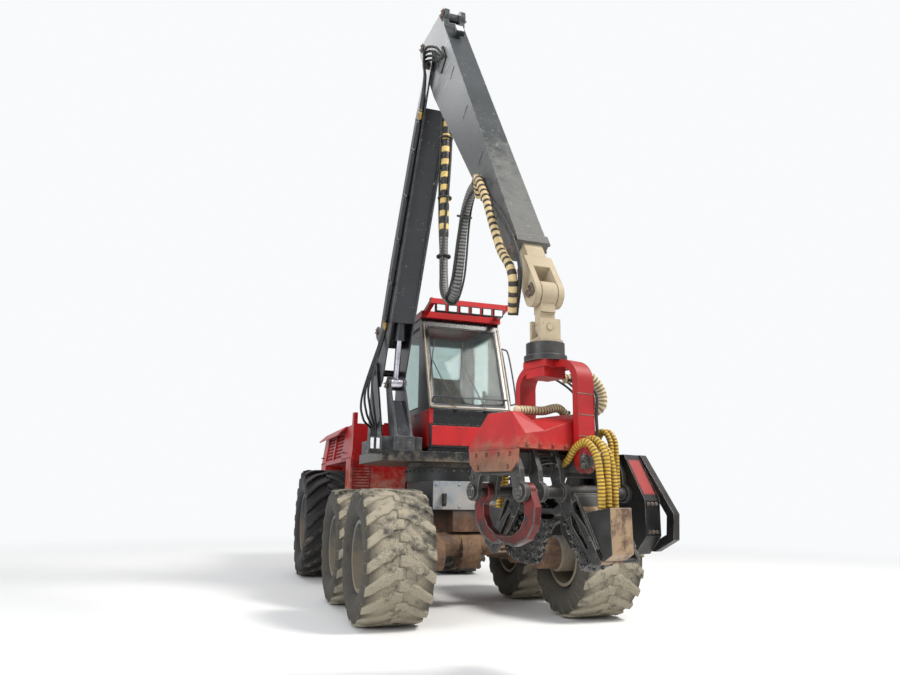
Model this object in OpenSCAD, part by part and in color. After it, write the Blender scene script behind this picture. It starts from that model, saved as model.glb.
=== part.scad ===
// Forestry harvester: six wheels, centre joint, turning cab and crane, felling head.
// The machine faces -Y, its right side is -X, and the ground is z = 0. Millimetres.

/* [Wheels] */
// Outer diameter of a bogie tyre, out to the lugs
bogie_tyre_d = 1330; // [1240:10:1400]
// Outer diameter of a rear tyre, out to the lugs
rear_tyre_d = 1645; // [1560:5:1700]
// Width of every tyre
tyre_w = 710; // [640:10:710]
// Rim seat diameter of a bogie tyre
bogie_rim_d = 673; // [640:1:720]
// Rim seat diameter of a rear tyre
rear_rim_d = 864; // [820:1:900]
// Distance between the wheel planes, left to right
track_w = 2270; // [2270:10:2400]
// Distance between the two axles of the bogie
bogie_spread = 1500; // [1460:10:1560]
// Distance from the bogie's centre back to the rear axle
wheelbase = 3740; // [3640:10:3840]

/* [Front chassis] */
// Width of the keel between the bogie beams
keel_w = 420; // [380:10:480]
// Width of the upper frame box and of its front plate
nose_w = 940; // [840:10:1000]
// Distance of the frame's front face ahead of the bogie's centre
nose_y = 100; // [60:10:160]
// Underside of the keel
keel_z = 860; // [850:5:880]
// Floor of the upper frame box
nose_z = 1110; // [1090:5:1130]
// Top of the upper frame box
nose_top = 1430; // [1380:10:1440]
// Thickness of a bogie beam
beam_w = 200; // [160:10:200]
// Depth of a bogie beam at its middle
beam_h = 400; // [340:10:420]
// Distance of the centre joint behind the bogie's centre
joint_y = 1850; // [1820:10:1880]
// Diameter of the centre joint's pin
joint_pin_d = 120; // [90:5:140]

/* [Rear chassis] */
// Width of the rear girder
girder_w = 600; // [500:10:640]
// Depth of the rear girder
girder_h = 195; // [160:5:195]
// Overhang behind the rear axle
rear_overhang = 1700; // [1560:10:1800]
// Top of the hood at its side
hood_top = 2300; // [2240:10:2340]
// Width of the hood at its widest
hood_w = 1900; // [1800:10:1960]
// Sheet thickness of hood and lid
hood_wall = 25; // [15:1:30]
// Front wall of the hood behind the bogie's centre
hood_front_y = 2450; // [2450:10:2500]

/* [Turning platform and cab] */
// Turning centre behind the bogie's centre
slew_y = 750; // [720:10:780]
// Diameter of the turning ring
ring_d = 1080; // [980:10:1120]
// Height of the turning ring above the frame
ring_h = 170; // [140:10:200]
// Thickness of the deck under cab and crane
deck_h = 120; // [100:5:140]
// Width of the cab
cab_w = 1100; // [1040:10:1140]
// Middle of the cab to the left of the centre line
cab_x = 150; // [150:5:180]
// Front of the cab behind the bogie's centre, at its foot
cab_front_y = 300; // [280:10:340]
// Length of the cab at its foot
cab_l = 1700; // [1600:10:1700]
// Height of the cab from deck to roof joint
cab_h = 1800; // [1700:10:1840]
// Wall thickness of the cab
cab_wall = 50; // [40:5:60]
// Depth that the windscreen leans back
screen_lean = 450; // [300:10:500]
// Sill of the windows above the deck
sill_h = 560; // [520:10:620]
// Thickness of the panes
glass_t = 10; // [6:1:12]
// Width of the door leaf
door_w = 800; // [700:10:850]
// Thickness of the door leaf
door_t = 40; // [30:5:45]

/* [Crane] */
// The crane's plane to the right of the centre line
crane_off = 750; // [740:5:770]
// Boom foot pin behind the bogie's centre
foot_y = 1120; // [1080:10:1140]
// Boom foot pin above the ground
foot_z = 2860; // [2820:10:2900]
// Length of the main boom, pin to pin
boom_l = 3916; // [3800:10:4000]
// Rise of the parked boom above level, in degrees
boom_rise = 56.35; // [54:0.05:58]
// Width of the main boom
boom_w = 310; // [300:5:330]
// Width of the jib
jib_w = 240; // [230:5:250]
// Length of the jib's box beyond the knuckle
jib_l = 3800; // [3700:10:3900]
// Drop of the parked jib below level, in degrees
jib_drop = 58.66; // [57:0.01:60]
// Side of the square extension beam
ext_s = 150; // [130:5:155]
// Diameter of the large crane pins
crane_pin_d = 90; // [70:5:100]
// Bore of the lift cylinder's barrel, outside
lift_d = 150; // [130:5:170]
// Bore of the jib cylinder's barrel, outside
jib_cyl_d = 150; // [130:5:160]
// Height of the lower cylinder eye above the deck
eye_h = 870; // [840:5:900]

/* [Felling head] */
// Turn of the head against the machine, in degrees
head_yaw = 17; // [0:1:30]
// Tilt hinge of the head below the crane's tip pin
hinge_drop = 1180; // [1160:5:1200]
// Clear width of the tilt frame between its legs
tilt_gap = 520; // [512:2:560]
// Width of a tilt frame's leg, along the head
leg_w = 150; // [130:5:170]
// Thickness of a tilt frame's leg
leg_t = 50; // [40:5:55]
// Length of the head's frame ahead of the rotator
head_l1 = 470; // [440:10:480]
// Length of the head's frame behind the rotator
head_l2 = 500; // [480:10:540]
// Width of the head's frame
head_w = 500; // [460:5:505]
// Diameter of a feed roller
roller_d = 280; // [250:5:285]
// Length of a feed roller
roller_l = 346; // [300:2:350]
// Length of the saw box along the head
saw_l = 210; // [190:10:300]

/* [Hidden] */
$fn = 64;

// Gap between faces that rest on each other, and running clearance round a pin
gap = 0.3;
run = 0.08;
// Clearance between pieces that slide or swing past each other
clear = 6;

// Table of wheels: side (-1 right), distance behind the bogie's centre, outer radius, seat radius
front_right = [-1, -bogie_spread / 2, bogie_tyre_d / 2, bogie_rim_d / 2];
front_left = [1, -bogie_spread / 2, bogie_tyre_d / 2, bogie_rim_d / 2];
middle_right = [-1, bogie_spread / 2, bogie_tyre_d / 2, bogie_rim_d / 2];
middle_left = [1, bogie_spread / 2, bogie_tyre_d / 2, bogie_rim_d / 2];
rear_right = [-1, wheelbase, rear_tyre_d / 2, rear_rim_d / 2];
rear_left = [1, wheelbase, rear_tyre_d / 2, rear_rim_d / 2];

// Heights and stations that follow from the sizes above
wheel_z = bogie_tyre_d / 2;
rear_wheel_z = rear_tyre_d / 2;
tyre_in = track_w / 2 - tyre_w / 2;
beam_out = tyre_in - 20;
beam_in = beam_out - beam_w;
axle_r = 130;
axle_z = keel_z - axle_r - 10;
ring_z = nose_top + ring_h;
deck_z = ring_z + gap + 60;
deck_top = deck_z + deck_h;
girder_z = rear_wheel_z + 165;
rear_end_y = wheelbase + rear_overhang;

// Crane points in its plane, as [y, z] measured from the bogie's centre and the ground
function turn2(a, p) = [cos(a) * p[0] - sin(a) * p[1], sin(a) * p[0] + cos(a) * p[1]];
boom_a = 180 - boom_rise;
jib_a = 180 + jib_drop;
foot = [foot_y, foot_z];
knuckle = foot + turn2(boom_a, [boom_l, 0]);
// The tip pin sits on the extension's middle line, past the end of the jib's box
ext_mid = -(517 - 12 - clear - ext_s / 2);
tip_u = jib_l + 495;
tip = knuckle + turn2(jib_a, [tip_u, ext_mid]);
lower_eye = [660, deck_top + eye_h];
head_z = tip[1] - hinge_drop;

// The part is centred front to back on its own ends
front_reach = -tip[0] + 593.2;
bogie_y = -(rear_end_y - front_reach) / 2;

module from_bogie() translate([0, bogie_y, 0]) children();
module crane_plane() translate([-crane_off, bogie_y, 0]) children();
// Local x runs along the given angle in the side view, local z runs across the machine
module side_view(p, a) translate([0, p[0], p[1]]) rotate([a, 0, 0]) rotate([90, 0, 90]) children();
module boom_view() crane_plane() side_view(foot, boom_a) children();
module jib_view() crane_plane() side_view(knuckle, jib_a) children();
module tip_view() translate([-crane_off, bogie_y + tip[0], tip[1]]) children();
module head_view() translate([-crane_off, bogie_y + tip[0], head_z]) rotate([0, 0, head_yaw]) children();

// Plain helpers: cylinders along an axis, boxes by their ranges, plates with round ends
module xcyl(d, x0, x1, p) translate([x0, p[0], p[1]]) rotate([0, 90, 0]) cylinder(d = d, h = x1 - x0);
module zcyl(d, z0, z1, p) translate([p[0], p[1], z0]) cylinder(d = d, h = z1 - z0);
module rod(p, q, d) translate(p) rotate([0, acos((q[2] - p[2]) / norm(q - p)), atan2(q[1] - p[1], q[0] - p[0])])
    cylinder(d = d, h = norm(q - p));
module box(x, y, z) translate([x[0], y[0], z[0]]) cube([x[1] - x[0], y[1] - y[0], z[1] - z[0]]);
module mid_box(w, y, z) box([-w / 2, w / 2], y, z);
module mid_plate(w) translate([0, 0, -w / 2]) linear_extrude(w) children();
module round_end(p, r) translate(p) circle(r);
module bar2(p, q, w) {
    d = q - p;
    n = [-d[1], d[0]] / norm(d) * w / 2;
    polygon([p + n, p - n, q - n, q + n]);
}
module link2(p, q, w) {
    bar2(p, q, w);
    round_end(p, w / 2);
    round_end(q, w / 2);
}
module on_wheel(w) from_bogie() translate([w[0] * track_w / 2, w[1], w[2]])
    rotate([0, w[0] * 90, 0]) children();

// Tyre: closed profiles at stations round the wheel. Two stations of every four are raised to a lug, the lugs
// slant from shoulder to middle, and those of the two sides are staggered.
seat_share = 0.40;
flange_h = 12;
lug_n = 15;
lug_h = 48;
lug_steps = 4;
stations = lug_n * lug_steps;
bead_gap = 6;
function raised(k) = k % lug_steps < 2 ? 0 : lug_h;
function tyre_profile(r, s, w, k) = [[(s + gap) / cos(180 / stations), bead_gap - seat_share * w],
    [s + 0.62 * (r - s), -w / 2], [r - raised(k), -0.43 * w], [r - raised(k + 1), -0.05 * w],
    [r - raised(k + 3), 0.05 * w], [r - raised(k + 2), 0.43 * w], [s + 0.62 * (r - s), w / 2],
    [(s + gap) / cos(180 / stations), seat_share * w - bead_gap]];
module tyre(w) color("#4a4640") on_wheel(w) {
    m = 8;
    pts = [for (k = [0:stations - 1]) each [for (q = tyre_profile(w[2], w[3], tyre_w, k))
        [q[0] * cos(360 * k / stations), q[0] * sin(360 * k / stations), q[1]]]];
    polyhedron(pts, [for (k = [0:stations - 1]) for (i = [0:m - 1])
        let (a = k * m + i, b = k * m + (i + 1) % m, n = ((k + 1) % stations) * m)
        each [[a, n + i, b], [b, n + i, n + (i + 1) % m]]], convexity = 8);
}

// Rim: seat ring with flanges, dished disc, hub drum and the bore for the axle stub
rim_t = 22;
hub_r = 190;
stub_d = 110;
disc_off = 60;
module rim(w) {
    s = w[3];
    half = seat_share * tyre_w;
    inner = track_w / 2 - beam_out;
    color("#8a8d8e") on_wheel(w) difference() {
        union() {
            rotate_extrude() polygon([[s - rim_t, -half - 8], [s + flange_h, -half - 8], [s + flange_h, -half],
                [s, -half], [s, half], [s + flange_h, half], [s + flange_h, half + 8], [s - rim_t, half + 8]]);
            rotate_extrude() polygon([[0, disc_off], [0.62 * s, disc_off], [s - rim_t, disc_off + 90],
                [s - rim_t, disc_off + 62], [0.62 * s, disc_off - 28], [0, disc_off - 28]]);
            translate([0, 0, -inner + gap]) cylinder(r = hub_r, h = inner + disc_off - gap);
            translate([0, 0, disc_off]) cylinder(r = 120, h = 60);
        }
        translate([0, 0, -inner - 1]) cylinder(d = stub_d + 2 * run, h = inner + 1);
    }
}

// Front frame: keel, upper box with its bare front plate, ring pedestal and rear fork
fork_t = 50;
fork_lo = keel_z + 10;
fork_hi = nose_z - fork_t;
fork_r = 180;
module fork_plate(z) translate([0, 0, z]) linear_extrude(fork_t) {
    round_end([0, joint_y], fork_r);
    polygon([[-fork_r, joint_y], [fork_r, joint_y], [keel_w / 2, joint_y - 420],
        [-keel_w / 2, joint_y - 420]]);
}
module tie_lug(x, y, z) translate([x, y, z]) rotate([90, 0, 90]) mid_plate(30) difference() {
    union() {
        circle(55);
        translate([-55, 0]) square([110, 90]);
    }
    circle(d = 50);
}
module front_frame() color("#2b2d30") from_bogie() {
    difference() {
        union() {
            mid_box(keel_w, [-nose_y, joint_y - 420], [keel_z, nose_z]);
            mid_box(nose_w, [-nose_y, slew_y + 200], [nose_z, nose_top]);
            mid_box(0.7 * nose_w, [slew_y, joint_y - 420], [nose_z, nose_top]);
            zcyl(ring_d, nose_top, ring_z, [0, slew_y]);
        }
        zcyl(0.55 * ring_d, nose_top + 1, ring_z + 1, [0, slew_y]);
    }
    mid_box(nose_w, [-nose_y - 14, -nose_y], [nose_z, nose_top]);
    fork_plate(fork_lo);
    fork_plate(fork_hi);
    zcyl(joint_pin_d, fork_lo - 20, fork_hi + fork_t, [0, joint_y]);
    for (s = [-1, 1]) tie_lug(s * 0.36 * nose_w, -nose_y - 55, nose_z + 90);
}

// Bogie axle: tube, gear bulge and saddle under the keel
module bogie_axle() color("#5a2320") from_bogie() {
    xcyl(2 * axle_r, -beam_in + gap, beam_in - gap, [0, axle_z]);
    xcyl(400, -110, 110, [20, axle_z - 75]);
    difference() {
        mid_box(keel_w - 10, [0, 340], [axle_z, keel_z - gap]);
        xcyl(300, -keel_w, keel_w, [360, axle_z - 60]);
    }
}

// Bogie beams: one gear case each side with an axle stub for each wheel
module bogie_beams() color("#8a6a4a") from_bogie() for (s = [-1, 1]) translate([s * (beam_in + beam_out) / 2, 0, 0]) {
    rotate([90, 0, 90]) mid_plate(beam_w) {
        for (e = [-1, 1]) link2([0, axle_z - 20], [e * bogie_spread / 2, wheel_z], 0.8 * beam_h);
        round_end([0, axle_z - 20], beam_h / 2);
    }
    for (e = [-1, 1]) translate([s * beam_w / 2, e * bogie_spread / 2, wheel_z])
        rotate([0, s * 90, 0]) cylinder(d = stub_d, h = 300);
}

// Rear frame: tongue on the centre pin, girder and tail
tongue_lo = fork_lo + fork_t + gap;
tongue_hi = fork_hi - gap;
module rear_frame() color("#26282a") from_bogie() {
    difference() {
        union() {
            translate([0, 0, tongue_lo]) linear_extrude(tongue_hi - tongue_lo) {
                round_end([0, joint_y], 150);
                polygon([[-150, joint_y], [150, joint_y], [220, joint_y + 420], [-220, joint_y + 420]]);
            }
            mid_box(girder_w, [joint_y + 250, rear_end_y - 40], [girder_z, girder_z + girder_h]);
            mid_box(440, [joint_y + 250, joint_y + 420], [tongue_lo, girder_z + girder_h]);
        }
        zcyl(joint_pin_d + 2 * run, 0, 2000, [0, joint_y]);
    }
    mid_box(1500, [rear_end_y - 60, rear_end_y], [girder_z - 120, girder_z + girder_h]);
    for (s = [-1, 1]) tie_lug(s * 250, rear_end_y - 200, girder_z - 85);
}

// Rear axle: casing with end flanges, gear bulge and saddle
module rear_axle() color("#5a2320") from_bogie() {
    xcyl(300, -beam_out + 80, beam_out - 80, [wheelbase, rear_wheel_z]);
    for (s = [-1, 1]) {
        xcyl(400, s > 0 ? beam_out - 80 : -beam_out, s > 0 ? beam_out : -beam_out + 80,
            [wheelbase, rear_wheel_z]);
        xcyl(stub_d, s > 0 ? beam_out : -beam_out - 300, s > 0 ? beam_out + 300 : -beam_out,
            [wheelbase, rear_wheel_z]);
    }
    xcyl(460, -120, 120, [wheelbase - 60, rear_wheel_z - 75]);
    mid_box(420, [wheelbase - 200, wheelbase + 200], [rear_wheel_z, girder_z - gap]);
}

// Engine: one plain block on the girder
module engine() color("#3b3b3b") from_bogie()
    mid_box(760, [wheelbase - 900, wheelbase + 450], [girder_z + girder_h, girder_z + girder_h + 780]);

// Hood outline in the end view: narrow between the wheels, wide and leaning inwards above them
hood_low_w = 1280;
hood_z = girder_z + girder_h;
arch_z = rear_tyre_d + 85;
function hood_ring(o) = [[-hood_low_w / 2 + o, hood_z - min(o, 5)], [hood_low_w / 2 - o, hood_z - min(o, 5)],
    [hood_low_w / 2 - o, arch_z + o], [hood_w / 2 - o, arch_z + 30 + o],
    [hood_w / 2 - 70 - o, hood_top], [-hood_w / 2 + 70 + o, hood_top],
    [-hood_w / 2 + o, arch_z + 30 + o], [-hood_low_w / 2 + o, arch_z + o]];
module end_view(y0, y1) translate([0, y1, 0]) rotate([90, 0, 0]) linear_extrude(y1 - y0) children();
// Grille windows along the hood's side: start and end behind the hood's front
grille_spans = [[900, 1650], [1750, 2500]];
grille_z = [arch_z + 90, hood_top - 50];
module hood() color("#a3191d") from_bogie() difference() {
    union() {
        end_view(hood_front_y, rear_end_y - 60.3) polygon(hood_ring(0));
        for (s = [-1, 1]) translate([s > 0 ? hood_low_w / 2 - 30 : -hood_w / 2, 0, 0]) {
            box([0, hood_w / 2 - hood_low_w / 2 + 30], [hood_front_y, hood_front_y + 380], [1300, arch_z + 60]);
            box([0, hood_w / 2 - hood_low_w / 2 + 30], [rear_end_y - 560, rear_end_y - 60.3], [1250, arch_z + 60]);
        }
        for (s = [-1, 1]) translate([s * (hood_w / 2 - 50), hood_front_y + 60, arch_z + 40])
            translate([-30, -60, 0]) cube([60, 120, 700]);
    }
    end_view(hood_front_y + hood_wall, rear_end_y - 60.3 - hood_wall) intersection() {
        polygon(hood_ring(hood_wall));
        translate([-hood_w / 2, hood_z - 10]) square([hood_w, hood_top - hood_z + 20]);
    }
    for (g = grille_spans) box([-hood_w, hood_w], [hood_front_y + g[0], hood_front_y + g[1]], grille_z);
}

// Grilles: bars across each window of the hood's sides
module grille(w, h, t) {
    n = 5;
    for (i = [0:n]) translate([i * (w - 20) / n, 0, 0]) cube([20, t, h]);
    m = 7;
    for (i = [0:m]) translate([0, 0, i * (h - 20) / m]) cube([w, t, 20]);
}
lean = atan2(70, hood_top - arch_z - 30);
module hood_grilles() color("#b5202a") from_bogie() for (s = [-1, 1]) for (g = grille_spans)
    translate([s * (hood_w / 2 - 28), hood_front_y + g[0] + gap, grille_z[0] + gap])
        rotate([0, -s * lean, 0]) rotate([0, 0, 90])
            translate([0, s > 0 ? 0 : -20, 0]) grille(g[1] - g[0] - 2 * gap, grille_z[1] - grille_z[0] - 8, 20);

// Hood lid: top panel with brims that reach over the side grilles, hinged at the tail
lid_hinge = [rear_end_y - 85, hood_top + 26];
brim_t = hood_top + gap;
module hood_lid() color("#c02027") from_bogie() {
    mid_box(hood_w - 170, [hood_front_y + 200, lid_hinge[0]], [brim_t, brim_t + hood_wall]);
    for (s = [0, 1]) mirror([s, 0, 0]) end_view(hood_front_y + 800, lid_hinge[0] - 30)
        polygon([[hood_w / 2 - 170, brim_t], [hood_w / 2 - 65, brim_t], [hood_w / 2 + 65, brim_t - 115],
            [hood_w / 2 + 65, brim_t - 90], [hood_w / 2 - 55, brim_t + hood_wall], [hood_w / 2 - 170, brim_t + hood_wall]]);
    xcyl(50, -hood_w / 2 + 200, hood_w / 2 - 200, lid_hinge);
}

// Platform: ring, deck and front skirt under the cab
deck_right = -crane_off - 270;
deck_left = cab_x + cab_w / 2 + 20;
module platform() color("#1f2224") from_bogie() {
    difference() {
        zcyl(ring_d - 60, ring_z + gap, deck_z + 1, [0, slew_y]);
        zcyl(0.55 * ring_d, ring_z - 1, deck_z, [0, slew_y]);
    }
    translate([0, 0, deck_z]) linear_extrude(deck_h) polygon([[deck_right, 130], [deck_left, 130],
        [deck_left, cab_front_y + cab_l], [deck_right + 520, cab_front_y + cab_l], [deck_right, 1450]]);
    // Outrigger for the pair of lamps
    box([-crane_off - 430, deck_right + 1], [130, 300], [deck_top - 40, deck_top]);
}

// Crane post: cast foot, two rear plates that hold the boom's pin, and the upright for the lift cylinder
post_in = boom_w / 2 + clear;
post_t = 24;
cheek_in = lift_d / 2 + clear;
cheek_t = 24;
module crane_post() color("#25292d") {
    crane_plane() {
        difference() {
            mid_box(500, [140, 1420], [deck_top, deck_top + 170]);
            for (s = [-1, 1]) translate([s * 270, 100, deck_top - 1]) cylinder(r = 150, h = 180);
        }
        for (s = [-1, 1]) translate([s * (post_in + post_t / 2), 0, 0]) rotate([90, 0, 90])
            mid_plate(post_t) {
                round_end(foot, 150);
                polygon([[560, deck_top + 169], [1400, deck_top + 169], foot + [150, 0], foot - [150, 0]]);
            }
        xcyl(crane_pin_d, -post_in - post_t - 12, post_in + post_t + 12, foot);
        // Upright: two cheeks and a web, leaning back to the cylinder's eye
        for (s = [-1, 1]) translate([s * (cheek_in + cheek_t / 2), 0, 0]) rotate([90, 0, 90])
            mid_plate(cheek_t) {
                round_end(lower_eye, 90);
                polygon([[150, deck_top + 169], [480, deck_top + 169], lower_eye + [88, -20], lower_eye + [-88, 20]]);
            }
        rotate([90, 0, 90]) mid_plate(2 * cheek_in + 2) polygon([[150, deck_top + 169], [190, deck_top + 169],
            lower_eye + [-110, -230], lower_eye + [-150, -230]]);
        // Pin stubs that carry the eye from both sides
        for (s = [-1, 1]) xcyl(60, s > 0 ? cheek_in - 4 : -cheek_in - cheek_t - 20,
            s > 0 ? cheek_in + cheek_t + 20 : -cheek_in + 4, lower_eye);
    }
}

// Cab outline in the side view
cab_floor = 60;
cab_back_y = cab_front_y + cab_l;
roof_z = deck_top + cab_h;
sill_z = deck_top + sill_h;
function cab_side(o) = [[cab_front_y + o, deck_top + (o > 0 ? cab_floor : 0)], [cab_front_y + o, sill_z],
    [cab_front_y + screen_lean + o, roof_z], [cab_back_y - o, roof_z],
    [cab_back_y - o, deck_top + (o > 0 ? cab_floor : 0)]];
module across(w) rotate([90, 0, 90]) mid_plate(w) children();
module cab_place() from_bogie() translate([cab_x, 0, 0]) children();
// Places of the window and door openings: start and end behind the cab's front
side_window = [520, 1560];
door_span = [620, 620 + door_w];
head_rail = 110;
function screen_y(z) = cab_front_y + screen_lean * (z - sill_z) / (roof_z - sill_z);
module cab_shell() color("#22262a") cab_place() {
    difference() {
        across(cab_w) polygon(cab_side(0));
        across(cab_w - 2 * cab_wall) polygon(cab_side(cab_wall));
        mid_box(cab_w - 2 * cab_wall - 40, [cab_front_y - 10, cab_front_y + screen_lean + 60], [sill_z + 30, roof_z - head_rail]);
        mid_box(cab_w - 2 * cab_wall - 100, [cab_back_y - 100, cab_back_y + 10], [sill_z + 100, roof_z - head_rail]);
        box([-cab_w, 0], [cab_front_y + side_window[0], cab_front_y + side_window[1]], [sill_z + 30, roof_z - head_rail]);
        box([0, cab_w], [cab_front_y + door_span[0], cab_front_y + door_span[1]], [deck_top + cab_floor, roof_z - head_rail + 40]);
    }
    // Pins of the door's hinges between their brackets
    for (z = knuckle_z) {
        zcyl(20, z - 30, z + knuckle_h + 30, [pin_x, pin_y]);
        for (b = [z - 33, z + knuckle_h + 3]) box([cab_w / 2 - 1, pin_x + 14], [pin_y - 14, pin_y + 14], [b, b + 30]);
    }
    difference() {
        box([-cab_w / 2, cab_w / 2], [cab_front_y - 60, cab_front_y], [deck_top + 60, deck_top + 350]);
        for (s = [-1, 1]) translate([s * (cab_w / 2 + 20), cab_front_y - 80, deck_top]) rotate([0, 0, 45])
            translate([-50, -50, 0]) cube([100, 100, 400]);
    }
}

// Roof with its lamp visor at the front
visor_y = cab_front_y + 60;
module cab_roof() color("#b3161b") cab_place() {
    mid_box(cab_w + 30, [cab_front_y + screen_lean - 60, cab_back_y + 30], [roof_z + gap, roof_z + 90]);
    mid_box(cab_w - 20, [visor_y, visor_y + 60], [roof_z + 110, roof_z + 180]);
    for (s = [-1, 1]) across_bar(s * (cab_w / 2 - 42), [visor_y + 30, roof_z + 140],
        [cab_front_y + screen_lean, roof_z + 50], 60);
}
module across_bar(x, p, q, w) translate([x, 0, 0]) rotate([90, 0, 90]) mid_plate(60) link2(p, q, w);

// Work lamps: a row under the visor and a pair beside the crane's foot
lamp_row = [-400, -240, -80, 80, 240, 400];
module work_lamps() color("#d8d8d0") {
    cab_place() for (x = lamp_row) translate([x, visor_y - 10, roof_z + 10]) lamp(130, 80, 99.7);
    crane_plane() for (x = [-390, -320]) translate([x, 130, deck_top + gap]) lamp(62, 100, 150);
}
lamp_rim = 9;
module lamp(w, d, h) translate([-w / 2, 0, 0]) difference() {
    cube([w, d, h]);
    translate([lamp_rim, -1, lamp_rim]) cube([w - 2 * lamp_rim, 9, h - 2 * lamp_rim]);
}

// Panes: windscreen, right side and rear
module cab_glass() color("#9fb7c0", 0.5) cab_place() {
    across(cab_w - 2 * cab_wall - 40 - 2 * gap) polygon([[screen_y(sill_z + 31) + 20, sill_z + 31],
        [screen_y(sill_z + 31) + 20 + glass_t, sill_z + 31],
        [screen_y(roof_z - head_rail - 1) + 20 + glass_t, roof_z - head_rail - 1],
        [screen_y(roof_z - head_rail - 1) + 20, roof_z - head_rail - 1]]);
    box([-cab_w / 2 + 20, -cab_w / 2 + 20 + glass_t], [cab_front_y + side_window[0] + gap, cab_front_y + side_window[1] - gap],
        [sill_z + 30 + gap, roof_z - head_rail - gap]);
    mid_box(cab_w - 2 * cab_wall - 100 - 2 * gap, [cab_back_y - 30, cab_back_y - 30 + glass_t],
        [sill_z + 100 + gap, roof_z - head_rail - gap]);
}

// Seat on its pedestal
module cab_seat() color("#5b3a2b") cab_place() {
    z0 = deck_top + cab_floor;
    mid_box(300, [cab_front_y + 850, cab_front_y + 1150], [z0 + gap, z0 + 300]);
    mid_box(480, [cab_front_y + 750, cab_front_y + 1230], [z0 + 300, z0 + 420]);
    across(460) bar2([cab_front_y + 1190, z0 + 400], [cab_front_y + 1330, z0 + 1050], 100);
}

// Door leaf with its window, on two knuckles at the front edge
pin_x = cab_w / 2 + 18;
pin_y = cab_front_y + door_span[0] - 20;
knuckle_h = 80;
knuckle_z = [deck_top + 250, roof_z - 420];
module cab_door() color("#22262a") cab_place() {
    door_leaf();
    for (z = knuckle_z) difference() {
        union() {
            zcyl(32, z, z + knuckle_h, [pin_x, pin_y]);
            box([cab_w / 2 + 4, pin_x], [pin_y, pin_y + 80], [z, z + knuckle_h]);
            box([cab_w / 2 - 10, cab_w / 2 + 5], [pin_y + 30, pin_y + 80], [z, z + knuckle_h]);
        }
        zcyl(20 + 2 * run, z - 1, z + knuckle_h + 1, [pin_x, pin_y]);
    }
}
module door_leaf() difference() {
    box([cab_w / 2 - door_t, cab_w / 2], [cab_front_y + door_span[0] + 5, cab_front_y + door_span[1] - 5],
        [deck_top + cab_floor + 5, roof_z - head_rail + 35]);
    box([cab_w / 2 - door_t - 1, cab_w / 2 + 1], [cab_front_y + door_span[0] + 85, cab_front_y + door_span[1] - 85],
        [sill_z - 80, roof_z - head_rail - 45]);
}
module door_glass() color("#9fb7c0", 0.5) cab_place()
    box([cab_w / 2 - door_t / 2, cab_w / 2 - door_t / 2 + glass_t],
        [cab_front_y + door_span[0] + 85 + gap, cab_front_y + door_span[1] - 85 - gap],
        [sill_z - 80 + gap, roof_z - head_rail - 45 - gap]);

// Main boom in its own view: x from the foot pin, y towards the belly
belly_foot = 380;
belly_tip = 69;
function belly(u) = belly_foot + (belly_tip - belly_foot) * u / boom_l;
bar_u = 850;
fork_u = boom_l - 720;
belly_end = boom_l - 470;
boom_plate = 18;
back_mid = -240;
lift_pin = [1400, -20];
jib_cyl_foot = [450, -330];
module boom_side() difference() {
    union() {
        polygon([[-110, 100], [-60, belly(0) - 60], [60, belly(0)], [boom_l, belly_tip + 80], [boom_l + 140, 60],
            [boom_l + 140, -60], [boom_l, -150], [fork_u, -200], [1500, back_mid], [300, -190], [-110, -100]]);
        round_end([0, 0], 150);
        round_end([boom_l, 0], 160);
        link2([jib_cyl_foot[0], -150], jib_cyl_foot, 170);
    }
    circle(d = crane_pin_d + 2 * run);
}
module main_boom() color("#1d2023") boom_view() {
    for (s = [-1, 1]) translate([0, 0, s * (boom_w / 2 - boom_plate / 2)]) mid_plate(boom_plate) boom_side();
    // Belly, back and end plates between the sides
    mid_plate(boom_w - 2 * boom_plate + 1) {
        bar2([bar_u, belly(bar_u) - 12], [belly_end, belly(belly_end) - 12], 20);
        bar2([300, -180], [1500, back_mid + 10], 20);
        bar2([1500, back_mid + 10], [fork_u, -190], 20);
        bar2([belly_end, belly(belly_end) - 12], [fork_u, -190], 20);
    }
    // Knuckle pin and the pin of the lift cylinder
    translate([boom_l, 0, -boom_w / 2 - 14]) cylinder(d = crane_pin_d, h = boom_w + 28);
    translate([lift_pin[0], lift_pin[1], -boom_w / 2 - 8]) cylinder(d = 70, h = boom_w + 16);
    // Cheeks of the jib cylinder's foot
    translate([jib_cyl_foot[0], jib_cyl_foot[1], -boom_w / 2]) cylinder(d = 60, h = boom_w);
}

// Hoses along the boom's right side, in a row
module boom_hoses() color("#141414") boom_view() for (i = [0:3])
    translate([0, 0, -boom_w / 2 - 15 - gap]) rotate([0, 90, 0]) translate([0, 140 - i * 34, 700])
        cylinder(d = 30, h = 2700);

// Lift cylinder: the barrel hangs inside the boom, the rod's eye stands on the upright
lift_dir = turn2(-boom_a, lower_eye - foot) - lift_pin;
lift_len = norm(lift_dir);
lift_ang = atan2(lift_dir[1], lift_dir[0]);
lift_barrel_l = 860;
lift_rod_in = 510;
module lift_view() boom_view() translate([lift_pin[0], lift_pin[1], 0]) rotate([0, 0, lift_ang]) children();
module lift_barrel() color("#1d2023") lift_view() difference() {
    union() {
        rotate([0, 90, 0]) translate([0, 0, 60]) cylinder(d = lift_d, h = lift_barrel_l - 60);
        translate([0, 0, -60]) cylinder(d = 150, h = 120);
    }
    translate([0, 0, -70]) cylinder(d = 70 + 2 * run, h = 140);
    rotate([0, 90, 0]) translate([0, 0, 80]) cylinder(d = 80 + 2 * run, h = lift_barrel_l);
}
module lift_rod() color("#c9c2ae") lift_view() {
    rotate([0, 90, 0]) translate([0, 0, lift_rod_in]) cylinder(d = 80, h = lift_len - lift_rod_in - 60);
    translate([lift_len, 0, -cheek_in + clear + 2]) cylinder(d = 170, h = 2 * (cheek_in - clear - 2));
}

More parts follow.
